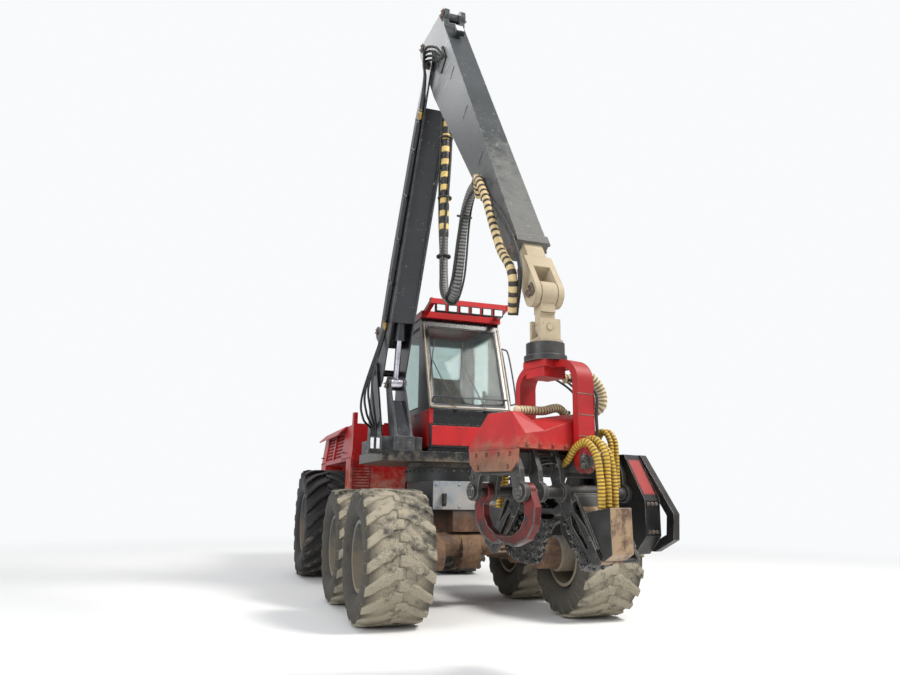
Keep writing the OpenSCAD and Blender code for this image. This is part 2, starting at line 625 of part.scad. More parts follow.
// Hanging jib hose: points are x across, y and z in the side view from the knuckle
jib_hose_pts = [[20, -180, -620], [20, -180, -700], [20, -180, -820], [20, -150, -1500], [20, -130, -2100],
    [20, -160, -2500], [20, -320, -2790], [20, -620, -2910], [20, -960, -2860], [20, -1240, -2680],
    [20, -1400, -2450], [20, -1400, -2320], [20, -1400, -2220]];
hose_r = 32;

// Jib: tapered box with its tail and ears, and the slot that the extension runs in
jib_front = -517;
tail = [-600, 95];
ears = [-84, -544];
jib_wall = 12;
slot_w = 130;
jib_back = jib_front + ext_s + 2 * clear + 2 * jib_wall;
jib_bend = [500, 130];
jib_slope = (jib_back - jib_bend[1]) / (jib_l - jib_bend[0]);
mouth_l = 50;
space_u = 700;
module jib_outline() {
    polygon([[60, jib_front], [jib_l, jib_front], [jib_l, jib_back], jib_bend, [0, 150], tail + [-20, 90], tail + [-40, -85], ears + [-80, -50], ears + [-10, -90]]);
    round_end([0, 0], 160);
    round_end(tail, 90);
    round_end(ears, 90);
}
// The clamp at the hose's upper end reaches up to the jib's back
clamp = turn2(-jib_a, [jib_hose_pts[12][1], jib_hose_pts[12][2]]);
clamp_reach = (clamp[1] - jib_bend[1] - jib_slope * (clamp[0] - jib_bend[0]))
    / (jib_slope * sin(jib_a) - cos(jib_a));
module jib() color("#2a2d2f") jib_view() {
    difference() {
        mid_plate(jib_w) jib_outline();
        // Running space of the extension
        translate([space_u, ext_mid - ext_s / 2 - clear, -ext_s / 2 - clear])
            cube([jib_l - mouth_l - space_u, ext_s + 2 * clear, ext_s + 2 * clear]);
        translate([space_u, ext_mid - ext_s / 2 - gap, -ext_s / 2 - gap])
            cube([jib_l, ext_s + 2 * gap, ext_s + 2 * gap]);
        // Hollow of the box behind the extension
        mid_plate(jib_w - 2 * jib_wall) polygon([[180, jib_front + jib_wall], [jib_l - 100, jib_front + jib_wall],
            [jib_l - 100, jib_front + jib_wall + ext_s + 2 * clear], [510, 112], [180, 125]]);
        // Slot between the tail plates and between the ears
        translate([-900, -60, -slot_w / 2]) cube([700, 400, slot_w]);
        translate([-300, -700, -slot_w / 2]) cube([330, 260, slot_w]);
        translate([0, 0, -jib_w]) cylinder(d = crane_pin_d + 2 * run, h = 2 * jib_w);
    }
    translate([ears[0], ears[1], -jib_w / 2 - 10]) cylinder(d = 100, h = jib_w + 20);
    for (s = [-1, 1]) translate([tail[0], tail[1], s > 0 ? slot_w / 2 - 6 : -jib_w / 2 - 10])
        cylinder(d = 60, h = jib_w / 2 + 10 - slot_w / 2 + 6);
    // Fittings that hold the hanging hose
    rotate([0, 0, -jib_a]) translate([jib_hose_pts[0][1], jib_hose_pts[0][2], jib_hose_pts[0][0]])
        translate([-40, 0.6, -40]) cube([80, 70, 80]);
    rotate([0, 0, -jib_a]) translate([jib_hose_pts[12][1], jib_hose_pts[12][2], jib_hose_pts[12][0]])
        translate([-40, 0.6, -40]) cube([80, clamp_reach + 40, 80]);
    // Wear collar round the mouth
    difference() {
        translate([jib_l - 60, jib_front - 12, -jib_w / 2 - 12]) cube([80, ext_s + 2 * clear + 2 * jib_wall + 24, jib_w + 24]);
        translate([jib_l - 70, ext_mid - ext_s / 2 - gap, -ext_s / 2 - gap])
            cube([100, ext_s + 2 * gap, ext_s + 2 * gap]);
    }
}

// Jib cylinder along the boom's back
tail_in_boom = turn2(-boom_a, knuckle + turn2(jib_a, tail) - foot);
jcyl_dir = tail_in_boom - jib_cyl_foot;
jcyl_len = norm(jcyl_dir);
jcyl_ang = atan2(jcyl_dir[1], jcyl_dir[0]);
jcyl_barrel_l = 2450;
module jcyl_view() boom_view() translate([jib_cyl_foot[0], jib_cyl_foot[1], 0]) rotate([0, 0, jcyl_ang]) children();
module jib_barrel() color("#3a4046") jcyl_view() difference() {
    union() {
        rotate([0, 90, 0]) translate([0, 0, 60]) cylinder(d = jib_cyl_d, h = jcyl_barrel_l - 60);
        translate([0, 0, -60]) cylinder(d = 150, h = 120);
    }
    translate([0, 0, -70]) cylinder(d = 60 + 2 * run, h = 140);
    rotate([0, 90, 0]) translate([0, 0, 90]) cylinder(d = 80 + 2 * run, h = jcyl_barrel_l);
}
module jib_rod() color("#b8bcbf") jcyl_view() {
    rotate([0, 90, 0]) translate([0, 0, 1000]) cylinder(d = 80, h = jcyl_len - 1000 - 50);
    translate([jcyl_len, 0, -slot_w / 2 + clear + 2]) cylinder(d = 130, h = slot_w - 2 * clear - 4);
}

// Extension: square beam in the jib with the cream fork at its end
fork_gap = 130;
module jib_extension() color("#7a5540") jib_view() {
    translate([900, ext_mid - ext_s / 2, -ext_s / 2]) cube([tip_u - 240 - 900, ext_s, ext_s]);
    difference() {
        union() {
            mid_plate(jib_w - 20) {
                round_end([tip_u, ext_mid], 95);
                polygon([[tip_u - 330, ext_mid - 80], [tip_u, ext_mid - 95], [tip_u, ext_mid + 95],
                    [tip_u - 330, ext_mid + 80]]);
            }
        }
        translate([tip_u - 210, ext_mid - 200, -fork_gap / 2]) cube([400, 400, fork_gap]);
    }
    translate([tip_u, ext_mid, -jib_w / 2]) cylinder(d = 60, h = jib_w);
}

// Tip link: hangs on the tip pin across the machine and carries the brake link's pin
brake_drop = 250;
module tip_link() color("#b9a67c") tip_view() difference() {
    union() {
        xcyl(190, -fork_gap / 2 + 5, fork_gap / 2 - 5, [0, 0]);
        mid_box(110, [-60, 60], [-140, -60]);
        mid_box(110, [-45, 45], [-brake_drop, -130]);
        translate([0, 45, -brake_drop]) rotate([90, 0, 0]) cylinder(d = 110, h = 90);
    }
    xcyl(60 + 2 * run, -100, 100, [0, 0]);
    translate([0, 80, -brake_drop]) rotate([90, 0, 0]) cylinder(d = 50 + 2 * run, h = 160);
}
// Brake link: the grey block with its pin along the machine
module brake_link() color("#8d8f8b") tip_view() {
    difference() {
        box([-80, 80], [-80, 80], [-brake_drop - 100, -brake_drop + 60]);
        box([-81, 81], [-45 - clear, 45 + clear], [-brake_drop - 60 - 12, -brake_drop + 70]);
    }
    translate([0, 86, -brake_drop]) rotate([90, 0, 0]) cylinder(d = 50, h = 172);
    box([-90, 90], [-90, 90], [-brake_drop - 110, -brake_drop - 90]);
}
// Rotator: the turning disc between brake link and tilt frame
rot_top = -brake_drop - 110 - gap;
rot_h = 130;
module rotator() color("#6f716e") tip_view() {
    zcyl(270, rot_top - rot_h, rot_top, [0, 0]);
    zcyl(300, rot_top - rot_h, rot_top - rot_h + 40, [0, 0]);
}

// Tilt frame: inverted U on the rotator, its legs down to the tilt hinge
tilt_x = 66;
u_top = hinge_drop + rot_top - rot_h;
u_out = tilt_gap / 2 + leg_t;
module u_shape() {
    difference() {
        union() {
            for (s = [-1, 1]) round_end([s * (u_out - 160), u_top - 160], 160);
            translate([-u_out + 160, u_top - 200]) square([2 * u_out - 320, 200]);
            translate([-u_out, 0]) square([2 * u_out, u_top - 160]);
        }
        for (s = [-1, 1]) round_end([s * (u_out - 160), u_top - 160], 160 - leg_t);
        translate([-u_out + 160, u_top - 220]) square([2 * u_out - 320, 220 - leg_t]);
        translate([-u_out + leg_t, -1]) square([2 * u_out - 2 * leg_t, u_top - 158]);
    }
}
module tilt_frame() color("#b3161b") head_view() difference() {
    union() {
        translate([tilt_x - leg_w / 2, 0, 0]) rotate([90, 0, 90]) linear_extrude(leg_w) u_shape();
        for (s = [-1, 1]) translate([tilt_x, s > 0 ? tilt_gap / 2 : -u_out, 0]) rotate([-90, 0, 0])
            cylinder(r = leg_w / 2, h = leg_t);
        translate([-110, -110, u_top - 50]) cube([220, 220, 50]);
        translate([-100, -90, u_top - 115]) cube([200, 180, 75]);
    }
    translate([tilt_x, 500, 0]) rotate([90, 0, 0]) cylinder(d = 80 + 2 * run, h = 1000);
}

// Cross-section work on the head: outlines are [across, up] and are drawn out along the head
module head_slice(x, l) translate([x, 0, 0]) rotate([90, 0, 90]) linear_extrude(l) children();
module both() for (s = [0, 1]) mirror([s, 0]) children();

// Head frame: spine over the stem, cross plates with ears, and the pins of tilt hinge, knives and rollers
pass_w = 300;
arm_y = 235;
arm_z = -195;
ear_r = 62;
arm_pin_d = 50;
spine_top = 70;
spine_low = -90;
plate_t = 35;
knife_t = 50;
frame_x = -head_l1 + 12;
knife_x = frame_x + plate_t + clear;
knife_end = knife_x + 2 * knife_t + 2 * clear;
roller_x = 100;
yoke_t = 25;
yoke_half = roller_d / 2 + 15 + yoke_t;
yoke_near = roller_x - yoke_half;
yoke_far = roller_x + yoke_half;
// Table of cross plates: where each one starts along the head
plate_rows = [frame_x, knife_end, yoke_near - clear - plate_t, yoke_far + clear, head_l2 - plate_t];
// Table of tubes between plates: start and end along the head
tube_rows = [[knife_end, yoke_near - clear], [yoke_far + clear, head_l2 - 5]];
module plate_outline() both() {
    polygon([[0, spine_top], [190, spine_top], [arm_y + 8, -60], [arm_y + 15, arm_z + 60], [arm_y + ear_r, arm_z],
        [arm_y - 45, arm_z - 42], [pass_w / 2 + 14, -130], [pass_w / 2, spine_low], [0, spine_low]]);
    translate([arm_y, arm_z]) circle(ear_r);
}
module head_frame() color("#3a3c3d") head_view() {
    difference() {
        head_slice(frame_x, head_l2 - frame_x) both() polygon([[0, spine_top], [150, spine_top], [175, 45],
            [175, -50], [pass_w / 2, spine_low], [0, spine_low]]);
        // Lightening pockets in the flanks
        for (x = [-210, 170, 345]) for (s = [-1, 1]) translate([x, s > 0 ? 130 : -180, -35]) cube([80, 50, 60]);
    }
    for (x = plate_rows) head_slice(x, plate_t) plate_outline();
    for (t = tube_rows) head_slice(t[0], t[1] - t[0]) both() translate([arm_y, arm_z]) circle(38);
    // Pins along the head for the knives and roller arms
    for (t = [[frame_x, knife_end + 5], [yoke_near - clear - 5, yoke_far + clear + 5]])
        head_slice(t[0], t[1] - t[0]) both() translate([arm_y, arm_z]) circle(arm_pin_d / 2);
    // Tilt hinge: bosses and pins
    for (s = [-1, 1]) translate([tilt_x, s > 0 ? 170 : -u_out - 10, 0]) rotate([-90, 0, 0])
        cylinder(d = 80, h = u_out + 10 - 170);
    for (s = [-1, 1]) translate([tilt_x, s > 0 ? 170 : -tilt_gap / 2 + gap, 0]) rotate([-90, 0, 0])
        cylinder(d = 130, h = tilt_gap / 2 - 170 - gap);
    // Valve block behind the cover
    translate([130, -90, spine_top - 1]) cube([200, 230, 215]);
    translate([150, -60, spine_top + 200]) cube([120, 170, 50]);
}

// Cover: faceted red hood over the head's front half, drawn from one section to the next
cover_top = 310;
module cover_slice(x, pts) head_slice(x, 1) polygon(concat([for (p = pts) p], [for (i = [len(pts) - 1:-1:0])
    [-pts[i][0], pts[i][1]]]));
cover_base = spine_top + gap;
cover_half = head_w / 2;
cover_mid = [[cover_half, cover_base], [cover_half, 185], [125, 262]];
module head_cover() color("#b3161b") head_view() {
    hull() {
        cover_slice(-head_l1 - 8, [[cover_half - 5, cover_base], [cover_half - 5, 90]]);
        cover_slice(-head_l1 + 55, [[cover_half, 160], [120, cover_top]]);
        cover_slice(-head_l1 + 130, [[cover_half, cover_base], [cover_half, 165], [120, cover_top]]);
        cover_slice(-250, cover_mid);
    }
    hull() {
        cover_slice(-250, cover_mid);
        cover_slice(60, [[cover_half, cover_base], [cover_half, 285], [125, 320]]);
    }
    // Chin in front of the frame's end
    head_slice(-head_l1 - 8, 18) both() polygon([[0, cover_base + 2], [cover_half - 5, cover_base + 2],
        [cover_half - 12, -20], [cover_half - 70, -72], [0, -72]]);
}

// Knives: hooked blades on the frame's pins, closing under the stem
knife_shape = [[58, 5], [98, -90], [84, -195], [20, -282], [-100, -328], [-225, -312], [-316, -266],
    [-225, -272], [-120, -268], [-42, -220], [0, -150], [0, -80], [-45, -35], [-55, 0], [-30, 45], [30, 45]];
module knife(s, x) head_view() translate([x, s * arm_y, arm_z]) rotate([90, 0, 90]) mirror([s > 0 ? 0 : 1, 0, 0])
    difference() {
        union() {
            cylinder(d = 116, h = knife_t);
            linear_extrude(knife_t) polygon([for (i = [len(knife_shape) - 1:-1:0]) knife_shape[i]]);
        }
        translate([0, 0, -1]) cylinder(d = arm_pin_d + 2 * run, h = knife_t + 2);
    }
module knife_near() color("#8f2a22") knife(-1, knife_x);
module knife_far() color("#5a4a44") knife(1, knife_x + knife_t + clear);

// Roller arms: yoke plates on the frame's pin, a back plate and bracket that hold the roller's shaft, and
// the open pot that guards the motor's hoses. Drawn for the far side and mirrored for the near one.
roller_top = [211, -320];
roller_lean = 27.6;
shaft_d = 60;
yoke_shape = [[185, arm_z - 5], [200, arm_z + 42], [262, arm_z + 42], [320, -310], [412, -400], [525, -590],
    [505, -618], [462, -615], [300, -440], [205, -300]];
yoke_hole = [[285, -320], [330, -360], [430, -520], [415, -535], [300, -400]];
pot_shape = [[540, -592], [602, -552], [596, -282], [383, -315]];
pot_inside = [[545, -570], [588, -542], [582, -268], [398, -298]];
pot_x = yoke_near + 20;
pot_l = 190;
module roller_view(s) head_view() translate([roller_x, s * roller_top[0], roller_top[1]]) rotate([s * roller_lean, 0, 0])
    mirror([0, s > 0 ? 0 : 1, 0]) children();
module arm_side(s) head_view() mirror([0, s > 0 ? 0 : 1, 0]) children();
module roller_arm(s) color("#a08c72") {
    arm_side(s) {
        for (x = [yoke_near, yoke_far - yoke_t]) head_slice(x, yoke_t) difference() {
            union() {
                translate([arm_y, arm_z]) circle(50);
                polygon([for (i = [len(yoke_shape) - 1:-1:0]) yoke_shape[i]]);
            }
            translate([arm_y, arm_z]) circle(arm_pin_d / 2 + run);
            polygon(yoke_hole);
        }
        head_slice(yoke_near, 2 * yoke_half) difference() {
            translate([arm_y, arm_z]) circle(48);
            translate([arm_y, arm_z]) circle(arm_pin_d / 2 + run);
        }
        head_slice(yoke_near + 5, 2 * yoke_half - 10) translate([500, -600]) circle(14);
        difference() {
            head_slice(pot_x, pot_l) polygon(pot_shape);
            head_slice(pot_x + 14, pot_l - 28) polygon(pot_inside);
        }
    }
    roller_view(s) {
        translate([5 - yoke_half, -70, 12]) cube([2 * yoke_half - 10, 225, 45]);
        translate([5 - yoke_half, roller_d / 2 + 8, 35 - roller_l]) cube([2 * yoke_half - 10, 16, roller_l]);
        translate([0, 0, 12 - roller_l]) cylinder(d = shaft_d, h = roller_l);
    }
}
// Feed roller: drum with staggered studs
stud = 20;
stud_rows = 6;
stud_n = 12;
module feed_roller(s) color("#2b2624") roller_view(s) difference() {
    union() {
        translate([0, 0, -roller_l]) cylinder(d = roller_d - 2 * stud, h = roller_l);
        for (row = [0:stud_rows - 1]) for (k = [0:stud_n - 1])
            rotate([0, 0, (k + (row % 2) / 2) * 360 / stud_n])
                translate([roller_d / 2 - stud - 6, -11, -roller_l + 14 + row * (roller_l - 50) / (stud_rows - 1)])
                    cube([stud + 4, 22, 22]);
    }
    translate([0, 0, -roller_l - 1]) cylinder(d = shaft_d + 2 * run, h = roller_l + 2);
}

// Saw box: chamfered housing at the head's rear end, open below, and the guard frame round its back
saw_x = head_l2 + gap;
saw_pin = [-180, -110];
guard_t = 60;
housing_l = saw_l - guard_t;
module saw_box() color("#4a4b4a") head_view() {
    difference() {
        head_slice(saw_x, housing_l + 1) both() polygon([[0, spine_top], [235, spine_top], [400, -235], [400, -470],
            [300, -590], [0, -590]]);
        head_slice(saw_x + 40, 60) both() polygon([[0, 30], [210, 30], [360, -245], [360, -460], [290, -591], [0, -591]]);
        translate([saw_x - 1, -pass_w / 2, -700]) cube([42, pass_w, 610]);
    }
    head_slice(saw_x + housing_l, guard_t) difference() {
        both() polygon([[0, spine_top], [254, spine_top], [510, -323], [499, -491], [346, -573], [0, -573]]);
        both() polygon([[150, 12], [222, 12], [452, -335], [442, -458], [325, -518], [150, -518]]);
    }
}
module saw_bar() color("#9a9a95") head_view() {
    translate([saw_x + 60, 0, 0]) rotate([90, 0, 90]) linear_extrude(12) link2(saw_pin, saw_pin - [0, 425], 90);
    translate([saw_x + 40 + gap, saw_pin[0], saw_pin[1]]) rotate([0, 90, 0]) cylinder(d = 80, h = 60 - 2 * gap);
}

// Hoses: a smooth tube through hand-set points, each ring square to the way it runs
function unit(v) = v / norm(v);
function curve_at(p0, p1, p2, p3, t) = 0.5 * (2 * p1 + (p2 - p0) * t + (2 * p0 - 5 * p1 + 4 * p2 - p3) * t * t
    + (3 * p1 - p0 - 3 * p2 + p3) * t * t * t);
function curve(p, n) = concat([for (i = [0:len(p) - 2]) for (j = [0:n - 1])
    curve_at(p[max(i - 1, 0)], p[i], p[i + 1], p[min(i + 2, len(p) - 1)], j / n)], [p[len(p) - 1]]);
function ring_at(c, t, ref, r, m) = let (u = unit(cross(ref, t)), v = cross(t, u))
    [for (k = [0:m - 1]) c + r * (cos(360 * k / m) * u + sin(360 * k / m) * v)];
module tube(path, n, r, ref, m = 10) {
    c = curve(path, n);
    l = len(c);
    rings = [for (i = [0:l - 1]) each ring_at(c[i], unit(c[min(i + 1, l - 1)] - c[max(i - 1, 0)]), ref, r, m)];
    polyhedron(rings, concat([[for (k = [0:m - 1]) k]], [[for (k = [m - 1:-1:0]) (l - 1) * m + k]],
        [for (i = [0:l - 2]) for (k = [0:m - 1])
            [i * m + k, (i + 1) * m + k, (i + 1) * m + (k + 1) % m, i * m + (k + 1) % m]]), convexity = 6);
}

// Jib hoses: the loop that hangs from the knuckle and comes back up to the clamp on the jib, in the jib's plane.
module jib_hose() color("#b9a552") crane_plane() translate([0, knuckle[0], knuckle[1]])
    tube(jib_hose_pts, 6, hose_r, [1, 0, 0]);

// Head hoses: arches from the valve block's side down to the rear tube
head_hose_pts = [[0, -60, spine_top + gap + 0.6], [0, -60, 84], [0, -62, 140], [0, -110, 215], [0, -180, 218], [0, -228, 150],
    [0, -235, 40], [0, -235, -60], [0, -235, -120], [0, -235, arm_z + 38 + gap]];
module head_hoses() color("#c2a030") head_view() for (x = [375, 425]) translate([x, 0, 0])
    tube(head_hose_pts, 4, 20, [1, 0, 0]);

// Rails: mirror and guard loops at the cab's left front corner, and the bar across the glass
loop_pts = [[0, 150, 100], [0.1, 150, 100], [0.6, 150, 100], [1, 190, 190], [1, 420, 810], [0.6, 460, 900], [0.1, 460, 900],
    [0, 460, 900]];
module cab_rails() color("#1b1d1f") cab_place() {
    for (x = [60, 150]) tube([for (p = loop_pts) [cab_w / 2 + gap + x * p[0], cab_front_y + p[1], sill_z + p[2]]],
        5, 11, [0, -0.932, 0.361], 8);
    tube([for (p = [[-1, 0], [-1, 8], [-1, 35], [-0.92, 60], [0.92, 60], [1, 35], [1, 8], [1, 0]])
        [p[0] * (cab_w / 2 - 40), cab_front_y - gap - p[1], sill_z - 20]], 4, 11, [0, 0, 1], 8);
}

front_frame();
bogie_axle();
bogie_beams();
tyre(front_right);  // tyre_front_right
tyre(front_left);  // tyre_front_left
tyre(middle_right);  // tyre_middle_right
tyre(middle_left);  // tyre_middle_left
tyre(rear_right);  // tyre_rear_right
tyre(rear_left);  // tyre_rear_left
rim(front_right);  // rim_front_right
rim(front_left);  // rim_front_left
rim(middle_right);  // rim_middle_right
rim(middle_left);  // rim_middle_left
rim(rear_right);  // rim_rear_right
rim(rear_left);  // rim_rear_left
rear_frame();
rear_axle();
engine();
hood();
hood_grilles();
hood_lid();
platform();
crane_post();
cab_shell();
cab_roof();
work_lamps();
cab_glass();
cab_seat();
cab_rails();
cab_door();
door_glass();
lift_barrel();
lift_rod();
main_boom();
boom_hoses();
jib_barrel();
jib_rod();
jib();
jib_hose();
jib_extension();
tip_link();
brake_link();
rotator();
tilt_frame();
head_frame();
head_cover();
head_hoses();
knife_near();
knife_far();
roller_arm(-1);  // roller_arm_near
roller_arm(1);  // roller_arm_far
feed_roller(-1);  // feed_roller_near
feed_roller(1);  // feed_roller_far
saw_box();
saw_bar();
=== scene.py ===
"""Looks of a forestry harvester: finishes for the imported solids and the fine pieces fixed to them."""
import math

import bpy
import bmesh
from mathutils import Matrix, Vector


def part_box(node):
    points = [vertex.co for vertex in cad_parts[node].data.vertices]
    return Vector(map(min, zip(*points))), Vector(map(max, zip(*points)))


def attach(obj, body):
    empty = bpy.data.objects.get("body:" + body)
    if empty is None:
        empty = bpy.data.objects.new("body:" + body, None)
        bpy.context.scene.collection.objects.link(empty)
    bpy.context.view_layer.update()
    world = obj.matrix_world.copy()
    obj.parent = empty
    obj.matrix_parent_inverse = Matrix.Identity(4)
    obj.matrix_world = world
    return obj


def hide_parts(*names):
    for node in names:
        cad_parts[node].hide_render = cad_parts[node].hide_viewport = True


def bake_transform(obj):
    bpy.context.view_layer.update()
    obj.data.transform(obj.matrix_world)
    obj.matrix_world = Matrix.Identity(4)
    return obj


bl_info = {
    "name": "Forestry Harvester",
    "version": (1, 0, 0),
    "blender": (4, 5, 0),
    "location": "View3D > Sidebar > Harvester",
    "description": "Finishes and fine pieces of a wheeled forestry harvester",
    "category": "Add Mesh",
}

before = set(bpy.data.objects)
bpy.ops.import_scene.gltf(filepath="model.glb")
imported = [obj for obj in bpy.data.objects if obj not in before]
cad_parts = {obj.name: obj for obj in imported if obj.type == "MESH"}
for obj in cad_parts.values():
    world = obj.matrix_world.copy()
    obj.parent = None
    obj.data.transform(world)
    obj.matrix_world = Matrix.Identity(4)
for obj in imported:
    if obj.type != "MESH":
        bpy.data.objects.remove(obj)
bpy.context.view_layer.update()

# Places taken from the frame

WHEELS = ("front_right", "front_left", "middle_right", "middle_left", "rear_right", "rear_left")
SIDES = (-1, 1)


def centre_of(node):
    """Middle of a node's box."""
    low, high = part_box(node)
    return (low + high) / 2


BOGIE_Y = (centre_of("tyre_front_left").y + centre_of("tyre_middle_left").y) / 2
CRANE_X = -0.75
FOOT = Vector((CRANE_X, BOGIE_Y + 1.120, 2.860))
KNUCKLE = Vector((CRANE_X, BOGIE_Y - 1.04993, 6.11983))
HEAD = Vector((CRANE_X, BOGIE_Y - 3.64596, 1.49201))
BOOM_ANGLE = math.radians(123.65)
JIB_ANGLE = math.radians(238.66)
HEAD_YAW = math.radians(17)
DECK_Z = 1.7803
CAB_X = 0.15
SILL_Z = DECK_Z + 0.56
ROOF_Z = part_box("cab_shell")[1].z

BOGIE_RIM = 0.3365
REAR_RIM = 0.432
LARGE_TYRE = 0.75
NUT_FACE = 1.135
HUB_END = NUT_FACE + 0.120


def rim_radius(tyre_radius):
    """Radius of the rim in a tyre of this radius."""
    return REAR_RIM if tyre_radius > LARGE_TYRE else BOGIE_RIM


# Node-based finishes


class Recipe:
    """Short calls for one material's nodes. Object coordinates are metres in the part's frame."""

    def __init__(self, name):
        self.material = bpy.data.materials.new(name)
        self.material.use_nodes = True
        self.tree = self.material.node_tree
        self.nodes = self.tree.nodes
        self.shader = self.nodes["Principled BSDF"]
        self.coordinates = self.nodes.new("ShaderNodeTexCoord")

    def add(self, kind, inputs=None, **values):
        node = self.nodes.new(kind)
        for key, value in values.items():
            setattr(node, key, value)
        for key, value in (inputs or {}).items():
            self.feed(node.inputs[key], value)
        return node

    def feed(self, socket, value):
        if isinstance(value, bpy.types.NodeSocket):
            self.tree.links.new(value, socket)
        elif value is not None:
            socket.default_value = value

    def noise(self, scale, detail=6.0, roughness=0.6, stretch=(1, 1, 1), turn=(0, 0, 0)):
        where = self.add("ShaderNodeMapping", {"Vector": self.coordinates.outputs["Object"],
                                               "Scale": stretch, "Rotation": turn})
        return self.add("ShaderNodeTexNoise", {"Vector": where.outputs[0], "Scale": scale, "Detail": detail,
                                               "Roughness": roughness}).outputs["Fac"]

    def step(self, value, low, high, start=0.0, end=1.0):
        return self.add("ShaderNodeMapRange", {"Value": value, "From Min": low, "From Max": high,
                                               "To Min": start, "To Max": end},
                        interpolation_type="SMOOTHSTEP").outputs[0]

    def maths(self, kind, a, b=None):
        node = self.add("ShaderNodeMath", operation=kind, use_clamp=kind in ("SUBTRACT", "MULTIPLY"))
        self.feed(node.inputs[0], a)
        if b is not None:
            self.feed(node.inputs[1], b)
        return node.outputs[0]

    def mix(self, factor, a, b):
        node = self.add("ShaderNodeMix", data_type="RGBA")
        self.feed(node.inputs[0], factor)
        self.feed(node.inputs[6], a)
        self.feed(node.inputs[7], b)
        return node.outputs[2]

    def edges(self, radius):
        """1 on sharp edges and 0 on flat faces."""
        rounded = self.add("ShaderNodeBevel", {"Radius": radius}, samples=4).outputs[0]
        flat = self.add("ShaderNodeNewGeometry").outputs["Normal"]
        dot = self.add("ShaderNodeVectorMath", operation="DOT_PRODUCT")
        self.feed(dot.inputs[0], rounded)
        self.feed(dot.inputs[1], flat)
        return self.step(dot.outputs["Value"], 0.995, 0.86), rounded

    def finish(self, colour, roughness, bump=None, distance=0.002, normal=None, metallic=0.0):
        self.feed(self.shader.inputs["Base Color"], colour)
        self.feed(self.shader.inputs["Roughness"], roughness)
        self.feed(self.shader.inputs["Metallic"], metallic)
        if bump is not None:
            node = self.add("ShaderNodeBump", {"Strength": 0.6, "Distance": distance, "Height": bump})
            self.feed(node.inputs["Normal"], normal)
            self.feed(self.shader.inputs["Normal"], node.outputs[0])
        elif normal is not None:
            self.feed(self.shader.inputs["Normal"], normal)
        return self.material


def rgba(red, green, blue):
    """A display colour, 0 to 255, as linear light."""
    return tuple(((c / 255 + 0.055) / 1.055) ** 2.4 if c > 10 else c / 255 / 12.92
                 for c in (red, green, blue)) + (1.0,)


def toned(colour, share):
    """A colour made darker, or paler, by a share."""
    return tuple(min(c * share, 1.0) for c in colour[:3]) + (1.0,)


MUD = rgba(136, 122, 100)
DUST = rgba(168, 152, 128)


def painted(name, colour, worn, roughness=0.42, grime=DUST, dirt=0.5, wear=0.5, low=0.9, high=2.4, metal=0.0,
            fleck=60.0, edge=0.008, streak=0.5, hem=None):
    """Worn machine paint: faded patches, dust that gathers low down, rain streaks, scratches, rubbed edges.
    A hem is a lower and an upper height and the colour of the dirt that has dried on below them."""
    r = Recipe(name)
    broad = r.noise(1.7, 5.0)
    patch = r.noise(9.0, 8.0, 0.7)
    fine = r.noise(fleck, 4.0, 0.7)
    streaks = r.noise(7.0, 5.0, 0.65, (3.0, 3.0, 0.35))
    scratch = r.noise(26.0, 3.0, 0.6, (1.0, 0.07, 1.0), (0.5, 0.3, 0.9))
    shade = toned(colour, 0.62)
    paint = r.mix(r.step(broad, 0.3, 0.72), shade, colour)
    paint = r.mix(r.step(streaks, 0.62, 0.80, 0.0, streak), paint, shade)
    height = r.add("ShaderNodeSeparateXYZ", {"Vector": r.coordinates.outputs["Object"]}).outputs["Z"]
    settled = r.step(height, high, low, 0.0, 0.5)
    cover = r.step(r.maths("ADD", r.maths("MULTIPLY", patch, 0.9), settled), 0.78 - 0.35 * dirt,
                   1.12 - 0.35 * dirt)
    dirty = r.mix(r.maths("MULTIPLY", cover, 0.35 + 0.55 * dirt), paint, grime)
    if hem:
        hem_low, hem_high, hem_colour = hem
        ragged = r.maths("ADD", height, r.step(r.noise(5.0, 8.0, 0.7), 0.25, 0.75, 0.0, hem_high - hem_low))
        crust = r.add("ShaderNodeMapRange", {"Value": ragged, "From Min": hem_high + 0.04,
                                             "From Max": hem_low, "To Min": 0.0, "To Max": 0.92}).outputs[0]
        soil = r.mix(r.step(patch, 0.35, 0.65), toned(hem_colour, 0.35), hem_colour)
        dirty = r.mix(crust, dirty, soil)
    mask, rounded = r.edges(edge)
    rub = r.maths("MULTIPLY", mask, r.step(r.noise(22.0, 6.0, 0.75), 0.62 - 0.35 * wear, 0.78 - 0.3 * wear))
    lines = r.maths("MULTIPLY", r.step(scratch, 0.69 - 0.05 * wear, 0.73), 0.75 * wear)
    bare = r.maths("ADD", rub, lines)
    colours = r.mix(bare, dirty, worn)
    rough = r.step(r.maths("ADD", r.maths("MULTIPLY", cover, 0.6), r.maths("MULTIPLY", fine, 0.4)), 0.0, 1.0,
                   roughness - 0.08, min(roughness + 0.42, 0.97))
    bump = r.maths("ADD", r.maths("MULTIPLY", patch, 0.5), r.maths("MULTIPLY", fine, 0.4))
    return r.finish(colours, rough, bump, 0.0015, rounded, metal)


